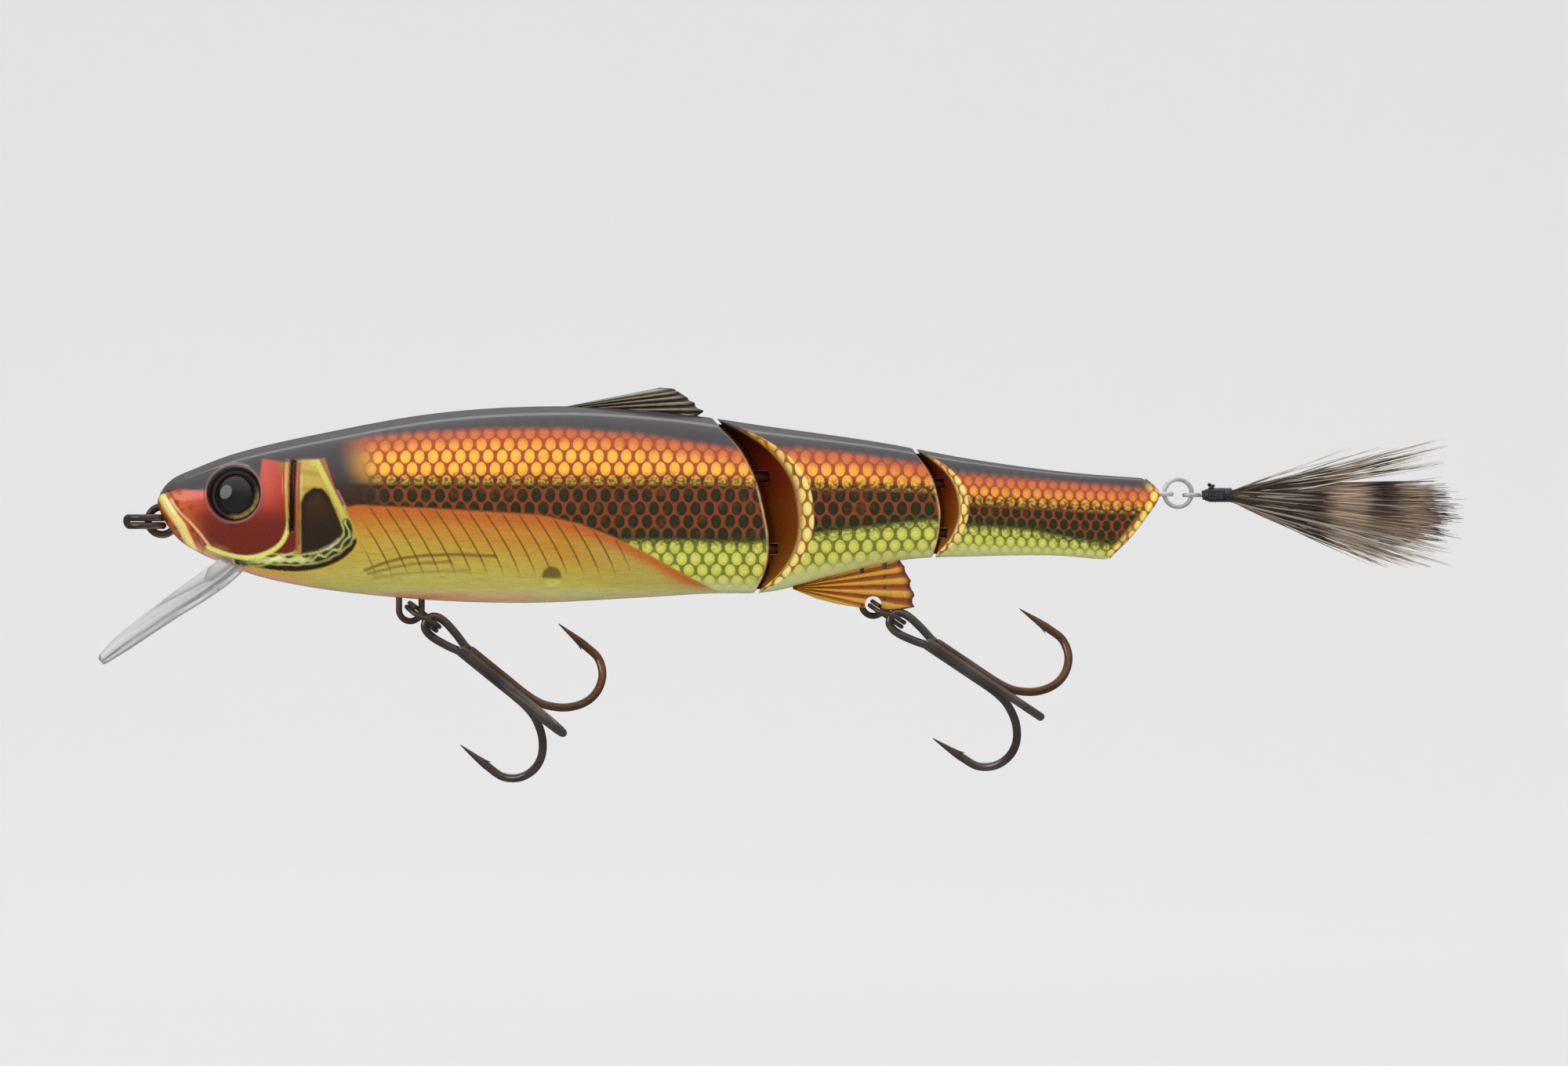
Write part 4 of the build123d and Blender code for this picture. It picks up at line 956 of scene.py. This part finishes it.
def fan_fin(name, body, centre, angles, inner, outer, thickness, material, replaces, rays, bite=None):
    """A thin plate of rays spreading from one point, thicker along each ray."""
    a_count, r_count = 150, 110
    a = np.linspace(0, 1, a_count)[:, None]
    r = np.linspace(0, 1, r_count)[None]
    angle = np.radians(angles[0] + (angles[1] - angles[0]) * a) + 0 * r
    near, far = inner(np.degrees(angle)), outer(np.degrees(angle))
    radius = near + (far - near) * r
    x = centre[0] + radius * np.cos(angle)
    z = centre[1] + radius * np.sin(angle)
    ray = 0.5 + 0.5 * np.cos(2 * np.pi * (a * rays + 0.12 * np.sin(7 * a) + 0.05 * r))
    half = thickness * (0.55 + 0.42 * ray) * (1 - 0.25 * r)
    rim = np.minimum(np.minimum(a, 1 - a) * SIDE_TAPER, (1 - r) * TIP_TAPER)
    half = half * np.sqrt(np.clip(rim, 0.02, 1))
    keep = np.ones((a_count - 1, r_count - 1), bool)
    if bite:
        cx, cz, size = bite
        d = np.hypot(x - cx, z - cz)
        mid = 0.25 * (d[1:, 1:] + d[:-1, 1:] + d[1:, :-1] + d[:-1, :-1])
        keep = mid > size
        scale = np.where(d < size, size / np.maximum(d, 1e-6), 1)
        x, z = cx + (x - cx) * scale, cz + (z - cz) * scale
    near_side = np.stack([x, -half, z], axis=2).reshape(-1, 3)
    far_side = np.stack([x, half, z], axis=2).reshape(-1, 3)
    total = a_count * r_count
    faces, edges = [], {}
    for i in range(a_count - 1):
        for j in range(r_count - 1):
            if not keep[i, j]:
                continue
            quad = (i * r_count + j, i * r_count + j + 1, (i + 1) * r_count + j + 1, (i + 1) * r_count + j)
            faces.append(quad)
            faces.append(tuple(total + k for k in reversed(quad)))
            for p, q in zip(quad, quad[1:] + quad[:1]):
                if (q, p) in edges:
                    del edges[(q, p)]
                else:
                    edges[(p, q)] = True
    for p, q in edges:
        faces.append((q, p, total + p, total + q))
    used = sorted({k for face in faces for k in face})
    index = {k: n for n, k in enumerate(used)}
    verts = np.vstack([near_side, far_side])[used]
    faces = [tuple(index[k] for k in face) for face in faces]
    obj = piece(name, verts, faces, body, material, replaces, sharp=50)
    fan = np.zeros((a_count, r_count, 3))
    fan[..., 0], fan[..., 1], fan[..., 2] = a + 0 * r, r + 0 * a, ray
    paint(obj, "fan", np.concatenate([fan.reshape(-1, 3)] * 2)[used])


def fin_look(name, ridge, valley, front, rear, **values):
    """Rayed fin; front and rear are each a tint with the two places it fades between."""
    look = Look(name, Coat_Weight=0.8, Coat_Roughness=0.08, **values)
    split = look.node("ShaderNodeSeparateColor", {0: look.attribute("fan").outputs["Color"]})
    across, out, ray = split.outputs
    wear = look.noise(1400, 3, 0.6)
    mask = look.ramp(look.plus(ray, look.times(look.minus(wear, 0.5), 0.5)), 0.25, 0.75)
    tone = look.mix(mask, valley, ridge)
    tone = look.mix(look.ramp(across, front[1], front[2]), tone, front[0])
    tone = look.mix(look.ramp(out, rear[1], rear[2]), tone, rear[0])
    look.colour(tone)
    look.rough(look.ramp(wear, 0.2, 0.8, 0.22, 0.42))
    look.bump(look.noise(3000, 3, 0.6), 0.15, 0.00005)
    return look.mat


dorsal_look = fin_look("dorsal_tint", rgba(142, 128, 108), rgba(36, 26, 22),
                       (rgba(122, 130, 104), 0.76, 0.99), (rgba(52, 38, 32), 0.9, 1.0), Metallic=0.1)
anal_look = fin_look("amber_tint", rgba(208, 156, 48), rgba(146, 66, 14), (rgba(206, 168, 56), 0.30, 0.02),
                     (rgba(96, 34, 14), 0.93, 1.0), Metallic=0.15)
DORSAL_CENTRE = (43.0, 12.4)
DORSAL_REAR = [(-3.6, 17.2), (-0.5, 18.3), (0.3, 18.3), (1.2, 17.8), (2.0, 17.6), (3.0, 17.4), (4.2, 16.9),
               (5.3, 16.8), (6.6, 16.1), (8.0, 15.9), (9.4, 15.3), (10.4, 14.6), (11.3, 13.9)]


def dorsal_outer(degrees):
    serration = 0.25 * np.abs(np.sin(np.radians(degrees) * 55))
    return steps(DORSAL_REAR, degrees) - serration


fan_fin("dorsal_rays", "front_body", DORSAL_CENTRE, (-3.6, 11.3), lambda d: 2.9 + 0 * d, dorsal_outer, 0.72,
        dorsal_look, ["dorsal_fin"], 6.5)
ANAL_CENTRE = (71.0, -7.6)
ANAL_REAR = [(-22, 3.4), (-20.5, 3.95), (-16.4, 7.5), (-14.8, 9.3), (-12.4, 12.0), (-8.6, 14.45),
             (-5.0, 14.2), (-2.0, 14.25), (2.0, 13.85), (6.0, 13.75), (10.0, 13.3), (15.6, 13.2)]


def anal_outer(degrees):
    teeth = 0.3 * np.abs(np.sin(np.radians(degrees + 3.5) * 26)) * smooth(-9.5, -7.0, degrees)
    return steps(ANAL_REAR, degrees) - teeth


fan_fin("anal_rays", "mid_body", ANAL_CENTRE, (-22, 15.6), lambda d: 0.4 + 0 * d, anal_outer, 0.72, anal_look,
        ["anal_fin"], 6.0, bite=(80.5, -9.5, 0.93))


# ---- trebles ----
BEND = [(14.0, 0.0), (15.5, 0.12), (17.0, 0.55), (18.9, 1.9), (20.2, 3.9), (20.5, 6.0), (19.8, 8.1),
        (18.2, 9.45), (16.0, 9.65)]
POINT_START, POINT_OUT = BEND[-1]
SHANK, POINT_LENGTH, WIRE = 0.565, 3.8, 0.47
HOOK_REACH, RING_REACH = 2.28, 2.17
HANGERS = {"front": ((27.85, -9.52), -39.0), "rear": ((80.25, -9.36), -33.8)}


def hang_frame(label, reach):
    """Point at reach along what hangs from a wire, and its directions along and up."""
    hang, droop = HANGERS[label]
    angle = math.radians(droop)
    along = np.array([math.cos(angle), 0, math.sin(angle)])
    up = np.array([-math.sin(angle), 0, math.cos(angle)])
    return np.array([hang[0], 0, hang[1]]) + along * reach, along, up


def hook_arm(tip, along, out, start):
    """Shank, round bend and needle point of one hook, with the barb on its inner side."""
    flat = [(start, 0.0), (start + 2, 0.0), (12.0, 0.0)] + BEND
    run = spline([(a, r) for a, r in flat], 90)
    ends = [(POINT_START - t, POINT_OUT + 0.012 * t) for t in np.linspace(0.25, POINT_LENGTH, 22)]
    run = np.vstack([run, ends])
    path = np.array([tip + along * a + out * (SHANK + r) for a, r in run])
    radii = np.full(len(path), WIRE)
    taper = np.linspace(0, 1, 23)[1:]
    radii[-22:] = WIRE * (1 - 0.9 * taper ** 1.25)
    radii[0] = WIRE * 0.55
    radii[1] = WIRE * 0.92
    parts = [tube(path, radii, 18)]
    root = tip + along * 15.5 + out * (SHANK + POINT_OUT - WIRE * 0.7)
    barb = [root - along * 0.7 + out * 0.2, root - out * 0.05, root + along * 0.65 - out * 0.42]
    parts.append(tube(spline(barb, 10), np.linspace(0.28, 0.03, 10), 10))
    return parts


def eye_loop(tip, along, up):
    """Teardrop eye between the two hooks bent from one wire."""
    head = tip + along * (1.12 + WIRE)
    neck = tip + along * 5.6
    run = [neck + along * 0.5 - up * 0.40, neck - up * 0.44, tip + along * 3.9 - up * 0.86,
           head - up * 1.12 + along * 0.3, head - up * 0.8 - along * 0.78, head - along * 1.12,
           head + up * 0.8 - along * 0.78, head + up * 1.12 + along * 0.3, tip + along * 3.9 + up * 0.86,
           neck + up * 0.44, neck + along * 0.5 + up * 0.40]
    return [tube(spline(run, 90), WIRE, 18)]


def treble(label):
    """A hook of three points: two bent from one wire, the third brazed along it."""
    prefix = label + "_treble"
    tip, along, up = hang_frame(label, HOOK_REACH)
    toward = np.array([0.0, -1.0, 0.0])
    aside, away = up * math.sin(math.radians(60)), toward * math.cos(math.radians(60))
    lower, upper = -aside - away, aside - away
    parts = eye_loop(tip, along, up) + hook_arm(tip, along, lower, 5.2) + hook_arm(tip, along, toward, 5.2)
    verts, faces = merge(parts)
    piece(prefix + "_double_hook", verts, faces, prefix, hook_look, [prefix + "_double"])
    verts, faces = merge(hook_arm(tip, along, upper, 6.1))
    piece(prefix + "_single_hook", verts, faces, prefix, hook_brown, [prefix + "_single"])
    seam = np.array([tip + along * a for a in np.linspace(6.3, 13.6, 30)])
    bead = 0.26 + 0.05 * np.sin(np.linspace(0, 19, 30))
    bead[0] = bead[-1] = 0.08
    verts, faces = tube(seam, bead, 12)
    piece(prefix + "_braze", verts, faces, prefix, braze_look)


hook_look = wire_look("black_nickel_hook", rgba(84, 78, 75), rgba(134, 128, 123), 0.17, rgba(112, 92, 80))
hook_brown = wire_look("bronzed_hook", rgba(104, 74, 54), rgba(146, 118, 98), 0.2, rgba(150, 84, 46))
braze_look = wire_look("braze_metal", rgba(120, 92, 60), rgba(176, 146, 104), 0.35)
treble("front")
treble("rear")


# ---- split rings ----
def coil_ring(name, centre, normal, towards, radius, wire, pitch, material):
    """Two flat turns of wire with a step between them and square-cut ends."""
    normal, towards = np.array(normal, float), np.array(towards, float)
    normal /= np.linalg.norm(normal)
    towards /= np.linalg.norm(towards)
    third = np.cross(normal, towards)
    turn = np.radians(np.linspace(-324, 324, 200))
    rise = np.clip(np.degrees(turn) / 30, -1, 1)
    path = (np.array(centre) + radius * np.cos(turn)[:, None] * towards
            + radius * np.sin(turn)[:, None] * third
            + (pitch / 2 * np.sin(rise * np.pi / 2))[:, None] * normal)
    radii = np.full(200, wire)
    radii[0] = radii[-1] = wire * 0.8
    verts, faces = tube(path, radii, 18)
    piece(name + "_coil", verts, faces, name, material, [name])


ring_look = wire_look("black_nickel_ring", rgba(70, 64, 61), rgba(120, 112, 106), 0.2, rgba(112, 86, 70))
silver_look = wire_look("bright_nickel", rgba(176, 176, 178), rgba(236, 236, 238), 0.2, metallic=0.55)
for label in HANGERS:
    centre, _, normal = hang_frame(label, RING_REACH)
    coil_ring(label + "_hook_ring", centre, normal, (0, -1, 0), RING_REACH, 0.25, 0.55, ring_look)
coil_ring("nose_ring", (-1.95, 0, -0.12), (0, 0, 1), (-1, 0, 0), 2.05, 0.4, 0.87, ring_look)
coil_ring("tail_ring", (115.0, 0, 3.1), (0, -1, 0), (0, 0, 1), 1.55, 0.23, 0.5, silver_look)


# ---- feather tail ----
FEATHER_X, FEATHER_Z = 120.7, 2.8


def feather():
    """Barbs of a barred feather fanned out from the thread, with loose wisps above and below."""
    parts, tones = [], []
    dark, tan = linear(38, 29, 26), linear(152, 130, 112)
    grey, white = linear(92, 80, 70), linear(206, 200, 190)

    def fibre(z_end, y_end, x_end, radius, bow, wisp):
        t = np.linspace(0, 1, 16)
        spread = t ** 0.85
        x = FEATHER_X + (x_end - FEATHER_X) * t
        z = FEATHER_Z + (z_end - FEATHER_Z) * spread + bow * np.sin(np.pi * t)
        y = y_end * spread + 0.25 * np.sin(3 * t + y_end * 4) * t
        path = xyz(x, y, z)
        start = np.array([0.0, rng.uniform(-0.45, 0.45), rng.uniform(-0.55, 0.55)])
        path += start * (1 - t)[:, None]
        radii = radius * np.clip(1.15 - t ** 3, 0.12, 1) * np.clip(0.55 + t * 2, 0, 1)
        verts, faces = tube(path, radii, 4)
        shade = np.zeros((len(path), 3))
        if wisp:
            shade[:] = white * rng.uniform(0.75, 1.0)
            shade[:6] = grey
        else:
            jitter = rng.uniform(-0.8, 0.8)
            px = x + jitter
            base = dark * rng.uniform(0.7, 1.7) * np.ones((len(path), 3))
            flecks = rng.uniform() < 0.36
            band = smooth(131.6, 133.2, px) * smooth(137.2, 136.2, px)
            tail_band = smooth(139.6, 140.8, px) * smooth(144.6, 143.2, px)
            low_gold = smooth(1.4, -2.0, z_end) * smooth(134, 139, x) * smooth(144, 141, x)
            mixed = np.clip(band + tail_band + 0.8 * low_gold, 0, 1)[:, None]
            warm = tan * rng.uniform(0.55, 1.45)
            shade = base * (1 - mixed) + warm * mixed
            if flecks:
                lighten = (smooth(121, 124, x) * smooth(132, 128, x))[:, None]
                shade = shade * (1 - 0.75 * lighten) + linear(158, 144, 132) * 0.75 * lighten
            if rng.uniform() < 0.13:
                shade = shade * 0.3 + linear(176, 164, 148) * 0.7
        parts.append((verts, faces))
        tones.append(np.repeat(shade, 4, axis=0))

    for _ in range(620):
        turn = rng.uniform(0, 2 * np.pi)
        size = math.sqrt(rng.uniform(0, 1))
        z_end = 0.9 + 3.7 * size * math.sin(turn)
        y_end = 1.75 * size * math.cos(turn)
        x_end = rng.uniform(140.5, 146.8) - 1.2 * size + (1.4 if rng.uniform() < 0.12 else 0)
        fibre(z_end, y_end, x_end, rng.uniform(0.07, 0.13), rng.normal(0, 0.22), False)
    for _ in range(80):
        fibre(rng.uniform(-5.4, -3.0), rng.uniform(-0.9, 0.9), rng.uniform(137, 146.3),
              rng.uniform(0.05, 0.09), rng.normal(0.2, 0.2), rng.uniform() < 0.3)
    for _ in range(40):
        fibre(rng.uniform(4.2, 8.6), rng.uniform(-0.9, 0.9), rng.uniform(134, 145.2), rng.uniform(0.04, 0.08),
              rng.normal(-0.2, 0.2), rng.uniform() < 0.55)
    for z_end, x_end in ((9.1, 143.8), (8.4, 145.2), (8.0, 144.0), (7.3, 142.5), (6.6, 144.6), (6.2, 141.4)):
        for _ in range(4):
            fibre(z_end + rng.normal(0, 0.13), rng.normal(0, 0.25), x_end + rng.normal(0, 0.4),
                  0.05, -0.3, False)
    verts, faces = merge(parts)
    obj = piece("feather_barbs", verts, faces, "feather", plume.mat, ["feather_hackle"],
                flip=False)
    paint(obj, "tone", np.vstack(tones))


plume = Look("barred_feather", Sheen_Weight=0.08, Sheen_Roughness=0.4, Specular_IOR_Level=0.3)
tone = plume.attribute("tone").outputs["Color"]
streaks = plume.ramp(plume.noise(700, 3, 0.6, stretch=(0.3, 2.0, 2.0)), 0.3, 0.72)
plume.colour(plume.mix(streaks, tone, plume.mix(0.16, tone, rgba(150, 132, 112))))
plume.wear(2600, 2, 0.45, 0.7)
feather()


def thread():
    """Turns of thread laid side by side over a tapered core, with the finishing knot on top."""
    turns = 22
    t = np.linspace(0, 1, turns * 22)
    x = 117.75 + 3.3 * t
    radius = np.where(x < 118.6, 0.46 + 0.32 * (x - 117.75) / 0.85, 0.78) - 0.06 + 0.03 * np.sin(t * 60)
    angle = 2 * np.pi * turns * t
    path = xyz(x, radius * np.cos(angle), 2.9 + radius * np.sin(angle))
    core_x = np.linspace(117.7, 121.1, 20)
    core_r = np.where(core_x < 118.6, 0.42 + 0.30 * (core_x - 117.7) / 0.9, 0.72)
    core_r[0] = 0.3
    core = xyz(core_x, 0 * core_x, 2.9 + 0 * core_x)
    parts = [tube(path, 0.1, 8), tube(core, core_r, 24)]
    for k, (dx, size) in enumerate(((0.0, 0.3), (0.2, 0.26), (-0.12, 0.2))):
        loop = all_round(20)
        ring = xyz(118.7 + dx + size * 0.6 * np.cos(loop), size * np.sin(loop),
                         3.72 + 0.16 * k + 0.1 * np.cos(loop + k))
        parts.append(tube(ring, 0.13, 8, closed=True))
    verts, faces = merge(parts)
    piece("thread_turns", verts, faces, "feather", cord.mat, ["thread_wrap"])


cord = Look("waxed_black_thread", Coat_Weight=0.5, Coat_Roughness=0.15)
cord.mottle(2600, 3, 0.35, 0.7, rgba(22, 22, 26), rgba(62, 62, 68))
cord.wear(5000, 2, 0.35, 0.6)
cord.bump(cord.noise(7000, 2), 0.3, 0.00004)
thread()


# ---- finishes of the CAD nodes that stay ----
def dress(names, material):
    for name in names:
        obj = nodes[name]
        obj.data.materials.clear()
        obj.data.materials.append(material)
        obj.data.shade_smooth()


lens = Look("black_lens", Coat_Weight=1.0, Coat_Roughness=0.01)
lens.mottle(300, 2, 0.3, 0.8, rgba(10, 10, 12), rgba(26, 26, 30))
lens.wear(1200, 2, 0.05, 0.12)
iris = Look("olive_gold_iris", Metallic=0.5, Coat_Weight=1.0, Coat_Roughness=0.03)
around = iris.node("ShaderNodeSeparateXYZ", {0: iris.place()})
corner = iris.minus(iris.minus(around.outputs[0], 0.0086),
                   iris.minus(around.outputs[2], 0.003))
glow = iris.ramp(corner, 0.0012, 0.0034)
gold = iris.mix(iris.ramp(iris.noise(1800, 3), 0.3, 0.7), rgba(108, 92, 36), rgba(158, 140, 70))
iris.colour(iris.mix(glow, rgba(40, 28, 24), gold))
iris.wear(1500, 2, 0.2, 0.35)


DOME_RADIUS, DOME_BASE, DOME_SIDES = 2.15, -0.75, 72


def eye_dome(label, side):
    """Domed lens with a soft shoulder, standing on the disc of the eye."""
    centre = EYE_CENTRE * [1, -side, 1]
    axis = EYE_AXIS * [1, -side, 1]
    across = np.cross(axis, [0, 0, 1])
    across /= np.linalg.norm(across)
    upright = np.cross(across, axis)
    turn = all_round(DOME_SIDES)
    circle = np.cos(turn)[:, None] * across + np.sin(turn)[:, None] * upright
    shoulder = DOME_BASE + 0.12
    profile = [(DOME_RADIUS, DOME_BASE), (DOME_RADIUS, shoulder)]
    profile += [(DOME_RADIUS * math.sin(a), shoulder + 0.82 * math.cos(a))
                for a in np.radians(np.linspace(84, 3, 22))]
    rings = [centre + axis * height + radius * circle for radius, height in profile]
    faces = closed_ends(len(profile), DOME_SIDES)
    piece(f"eye_dome_{label}", np.vstack(rings), faces, "front_body", lens.mat,
          [f"eye_lens_{label}"])


eye_dome("left", -1)
eye_dome("right", 1)
clear = Look("clear_polycarbonate", Transmission_Weight=1.0, IOR=1.09, Specular_IOR_Level=0.6)
tint = clear.attribute("cell").outputs["Color"]
clear.mottle(260, 3, 0.35, 0.7, tint, clear.mix(0.12, tint, rgba(190, 192, 196)))
clear.rough(clear.ramp(clear.noise(420, 3), 0.3, 0.7, 0.02, 0.07))
clear.bump(clear.noise(200, 2, 0.5), 0.03, 0.00005)
LIP_ROOT, LIP_DROOP = np.array([8.0, 0.0, -5.6]), math.radians(36.5)
# along the lip: distance, height of the rims, height of the underside, half width
LIP = [(-2.6, 1.9, -0.4, 2.9), (0.5, 2.2, -0.9, 3.6), (4, 2.15, -0.9, 4.7), (8, 2.05, -0.55, 5.7),
       (12, 1.9, -0.3, 6.3), (15, 1.75, -0.15, 6.0), (17, 1.45, 0, 4.6),
       (17.7, 1.3, 0.05, 3.6), (18.05, 1.2, 0.1, 2.6)]


def lip():
    """Clear bill: a thin floor dished between two raised rims, round at its end, with a boss at the chin."""
    along = np.array([-math.cos(LIP_DROOP), 0, -math.sin(LIP_DROOP)])
    up = np.array([-math.sin(LIP_DROOP), 0, math.cos(LIP_DROOP)])
    stations = np.concatenate([np.linspace(-2.6, 16.5, 60), np.linspace(16.7, 18.05, 14)])
    rim, under, half = (through([(s[0], s[k]) for s in LIP], stations) for k in (1, 2, 3))
    half[-8:] *= np.sqrt(np.linspace(1, 0.35, 8))
    across = np.linspace(-1, 1, 61)
    rings = []
    for k, d in enumerate(stations):
        top = under[k] + (rim[k] - under[k]) * (0.30 + 0.70 * np.abs(across) ** 3)
        dish = under[k] + (rim[k] - under[k]) * 0.16 * (np.abs(across) ** 4)
        edge = np.clip((1 - np.abs(across)) * half[k] / 0.35, 0, 1)
        middle = 0.5 * (top + dish)
        round_off = np.sqrt(np.clip(1 - (1 - edge) ** 2, 0.0, 1))
        top = middle + (top - middle) * round_off
        dish = middle + (dish - middle) * round_off
        upper = LIP_ROOT + along * d + top[:, None] * up + (across * half[k])[:, None] * [0, 1, 0]
        lower = LIP_ROOT + along * d + dish[:, None] * up + (across * half[k])[:, None] * [0, 1, 0]
        rings.append(np.vstack([upper, lower[::-1][1:-1]]))
    width = len(rings[0])
    faces = closed_ends(len(rings), width)
    boss_verts, boss_faces = lip_boss(along, up)
    tint = np.tile(linear(243, 243, 242), (len(rings) * width + len(boss_verts), 1))
    # underside darker towards its edges and the last rows at the tip darker: painted shade for the dark rim a
    # clear edge shows
    shade = np.concatenate([np.full(61, 1.0), 0.25 + 0.75 * smooth(0.98, 0.86, np.abs(across))[::-1][1:-1]])
    tint[:len(rings) * width] *= np.tile(shade, len(rings))[:, None] ** 0.9
    tint[(len(rings) - 5) * width:len(rings) * width] *= 0.8
    verts, faces = merge([(np.vstack(rings), faces), (boss_verts, boss_faces)])
    obj = piece("clear_lip", verts, faces, "front_body", clear.mat, ["diving_lip"], sharp=60)
    paint(obj, "cell", tint)


def lip_boss(along, up):
    """Swelling in the middle of the lip where it goes into the chin."""
    t = np.linspace(0, 1, 26)
    path = LIP_ROOT + along * (-2.4 + 5.6 * t)[:, None] + up * (1.0 - 0.5 * t)[:, None]
    return tube(path, 1.35 * np.sqrt(np.clip(1 - t ** 2.4, 0.03, 1)), 24)


lip()
steel_look = wire_look("pin_steel", rgba(120, 120, 122), rgba(196, 196, 198), 0.2)
hanger_look = wire_look("hanger_nickel", rgba(64, 54, 46), rgba(150, 132, 114), 0.25, rgba(124, 92, 66))
tie_look = wire_look("line_tie_nickel", rgba(48, 44, 42), rgba(120, 112, 104), 0.26, rgba(128, 84, 56))
lead = wire_look("cast_lead", rgba(78, 80, 84), rgba(130, 132, 136), 0.5)
dress(["eye_disc_left", "eye_disc_right"], iris.mat)
dress(["hinge_pin_front", "hinge_pin_rear"], steel_look)
dress(["belly_weight"], lead)
dress(["belly_hanger", "rear_hanger"], hanger_look)
dress(["line_tie"], tie_look)
dress(["tail_eye", "feather_shank"], silver_look)

# ---- stage, light and camera ----
VIEW_CENTRE = (70.4, -1.4)
VIEW_WIDTH = 177.5
LENS = 160.0
SENSOR = 36.0
distance = VIEW_WIDTH * LENS / SENSOR
FLOOR_Z, WALL_Y, CURVE, CURVE_STEPS = -75.0, 900, 700, 12
# glow of the paper along Y, rising towards the wall behind
FLOOR_GLOW = [(-3500, 0.02), (100, 0.02), (179, 0.03), (285, 0.065), (359, 0.10), (443, 0.14), (540, 0.175),
              (655, 0.215), (791, 0.25), (900, 0.27)]


def backdrop():
    """One pale sheet: floor in front, curving up into a wall behind."""
    profile = [(y, FLOOR_Z, glow) for y, glow in FLOOR_GLOW]
    for k in range(1, CURVE_STEPS + 1):
        turn = math.pi / 2 * k / CURVE_STEPS
        profile.append((WALL_Y + CURVE * math.sin(turn), FLOOR_Z + CURVE * (1 - math.cos(turn)),
                        0.27 + 0.02 * k / CURVE_STEPS))
    profile.append((float(WALL_Y + CURVE), 3500.0, 0.3))
    verts = [(x, y, z) for y, z, glow in profile for x in (-4000.0, 4000.0)]
    mesh = bpy.data.meshes.new("studio_sheet")
    mesh.from_pydata([[c * MM for c in v] for v in verts], [], grid_faces(len(profile), 2))
    mesh.shade_smooth()
    sheet = bpy.data.objects.new("studio_sheet", mesh)
    scene.collection.objects.link(sheet)
    paint(sheet, "glow", [[glow] * 3 for y, z, glow in profile for x in range(2)])
    paper = Look("pale_paper", Roughness=0.9, Emission_Strength=1.0)
    paper.feed(paper.shader.inputs["Emission Color"], paper.attribute("glow").outputs["Color"])
    paper.colour(paper.mix(paper.noise(3, 2), rgba(223, 223, 223), rgba(225, 225, 225)))
    mesh.materials.append(paper.mat)
    sheet.visible_glossy = False


def softbox(name, at, aim, size, power, shine):
    """Area light; without shine it lights surfaces but isn't mirrored in them."""
    lamp = bpy.data.lights.new(name, "AREA")
    lamp.shape = "ELLIPSE" if shine else "RECTANGLE"
    lamp.size, lamp.size_y = size[0] * MM, size[1] * MM
    lamp.energy = power
    obj = bpy.data.objects.new(name, lamp)
    scene.collection.objects.link(obj)
    obj.visible_glossy = shine
    obj.location = Vector(at) * MM
    obj.rotation_mode = "QUATERNION"
    obj.rotation_quaternion = (Vector(aim) - Vector(at)).to_track_quat("-Z", "Y")


backdrop()
world = bpy.data.worlds.new("studio")
scene.world = world
world.use_nodes = True
sky = world.node_tree.nodes["Background"]
way = world.node_tree.nodes.new("ShaderNodeTexCoord")
split = world.node_tree.nodes.new("ShaderNodeSeparateXYZ")
rise = world.node_tree.nodes.new("ShaderNodeMapRange")
rise.interpolation_type = "SMOOTHSTEP"
SKY_LOW, SKY_HIGH, SKY_DIM, SKY_BRIGHT = 0.1, 0.95, 0.14, 0.62
for slot, number in enumerate((SKY_LOW, SKY_HIGH, SKY_DIM, SKY_BRIGHT), 1):
    rise.inputs[slot].default_value = number
world.node_tree.links.new(way.outputs["Generated"], split.inputs[0])
world.node_tree.links.new(split.outputs[2], rise.inputs[0])
world.node_tree.links.new(rise.outputs[0], sky.inputs[1])
sky.inputs[0].default_value = (1, 1, 1, 1)
# name, place, X it aims at, size, watts, mirrored in the object
LAMPS = [("front_fill", (70, -1000, 420), 70, (1500, 700), 8.0, False),
         ("low_fill", (70, -800, -420), 70, (1400, 500), 4.4, False),
         ("over_fill", (70, -60, 800), 70, (1200, 500), 3.0, False),
         ("back_strip", (70, 330, 640), 70, (900, 120), 0.55, True),
         ("window", (-760, -560, 330), 20, (860, 640), 2.4, True)]
for name, at, aim_x, size, watts, shine in LAMPS:
    softbox(name, at, (aim_x, 0, 0), size, watts, shine)

camera = bpy.data.cameras.new("camera")
camera.type = "PERSP"
camera.lens = LENS
camera.sensor_width = SENSOR
view = bpy.data.objects.new("camera", camera)
scene.collection.objects.link(view)
view.location = (VIEW_CENTRE[0] * MM, -distance * MM, VIEW_CENTRE[1] * MM)
view.rotation_euler = (math.pi / 2, 0, 0)
camera.clip_start = 0.01
camera.clip_end = 20
scene.camera = view
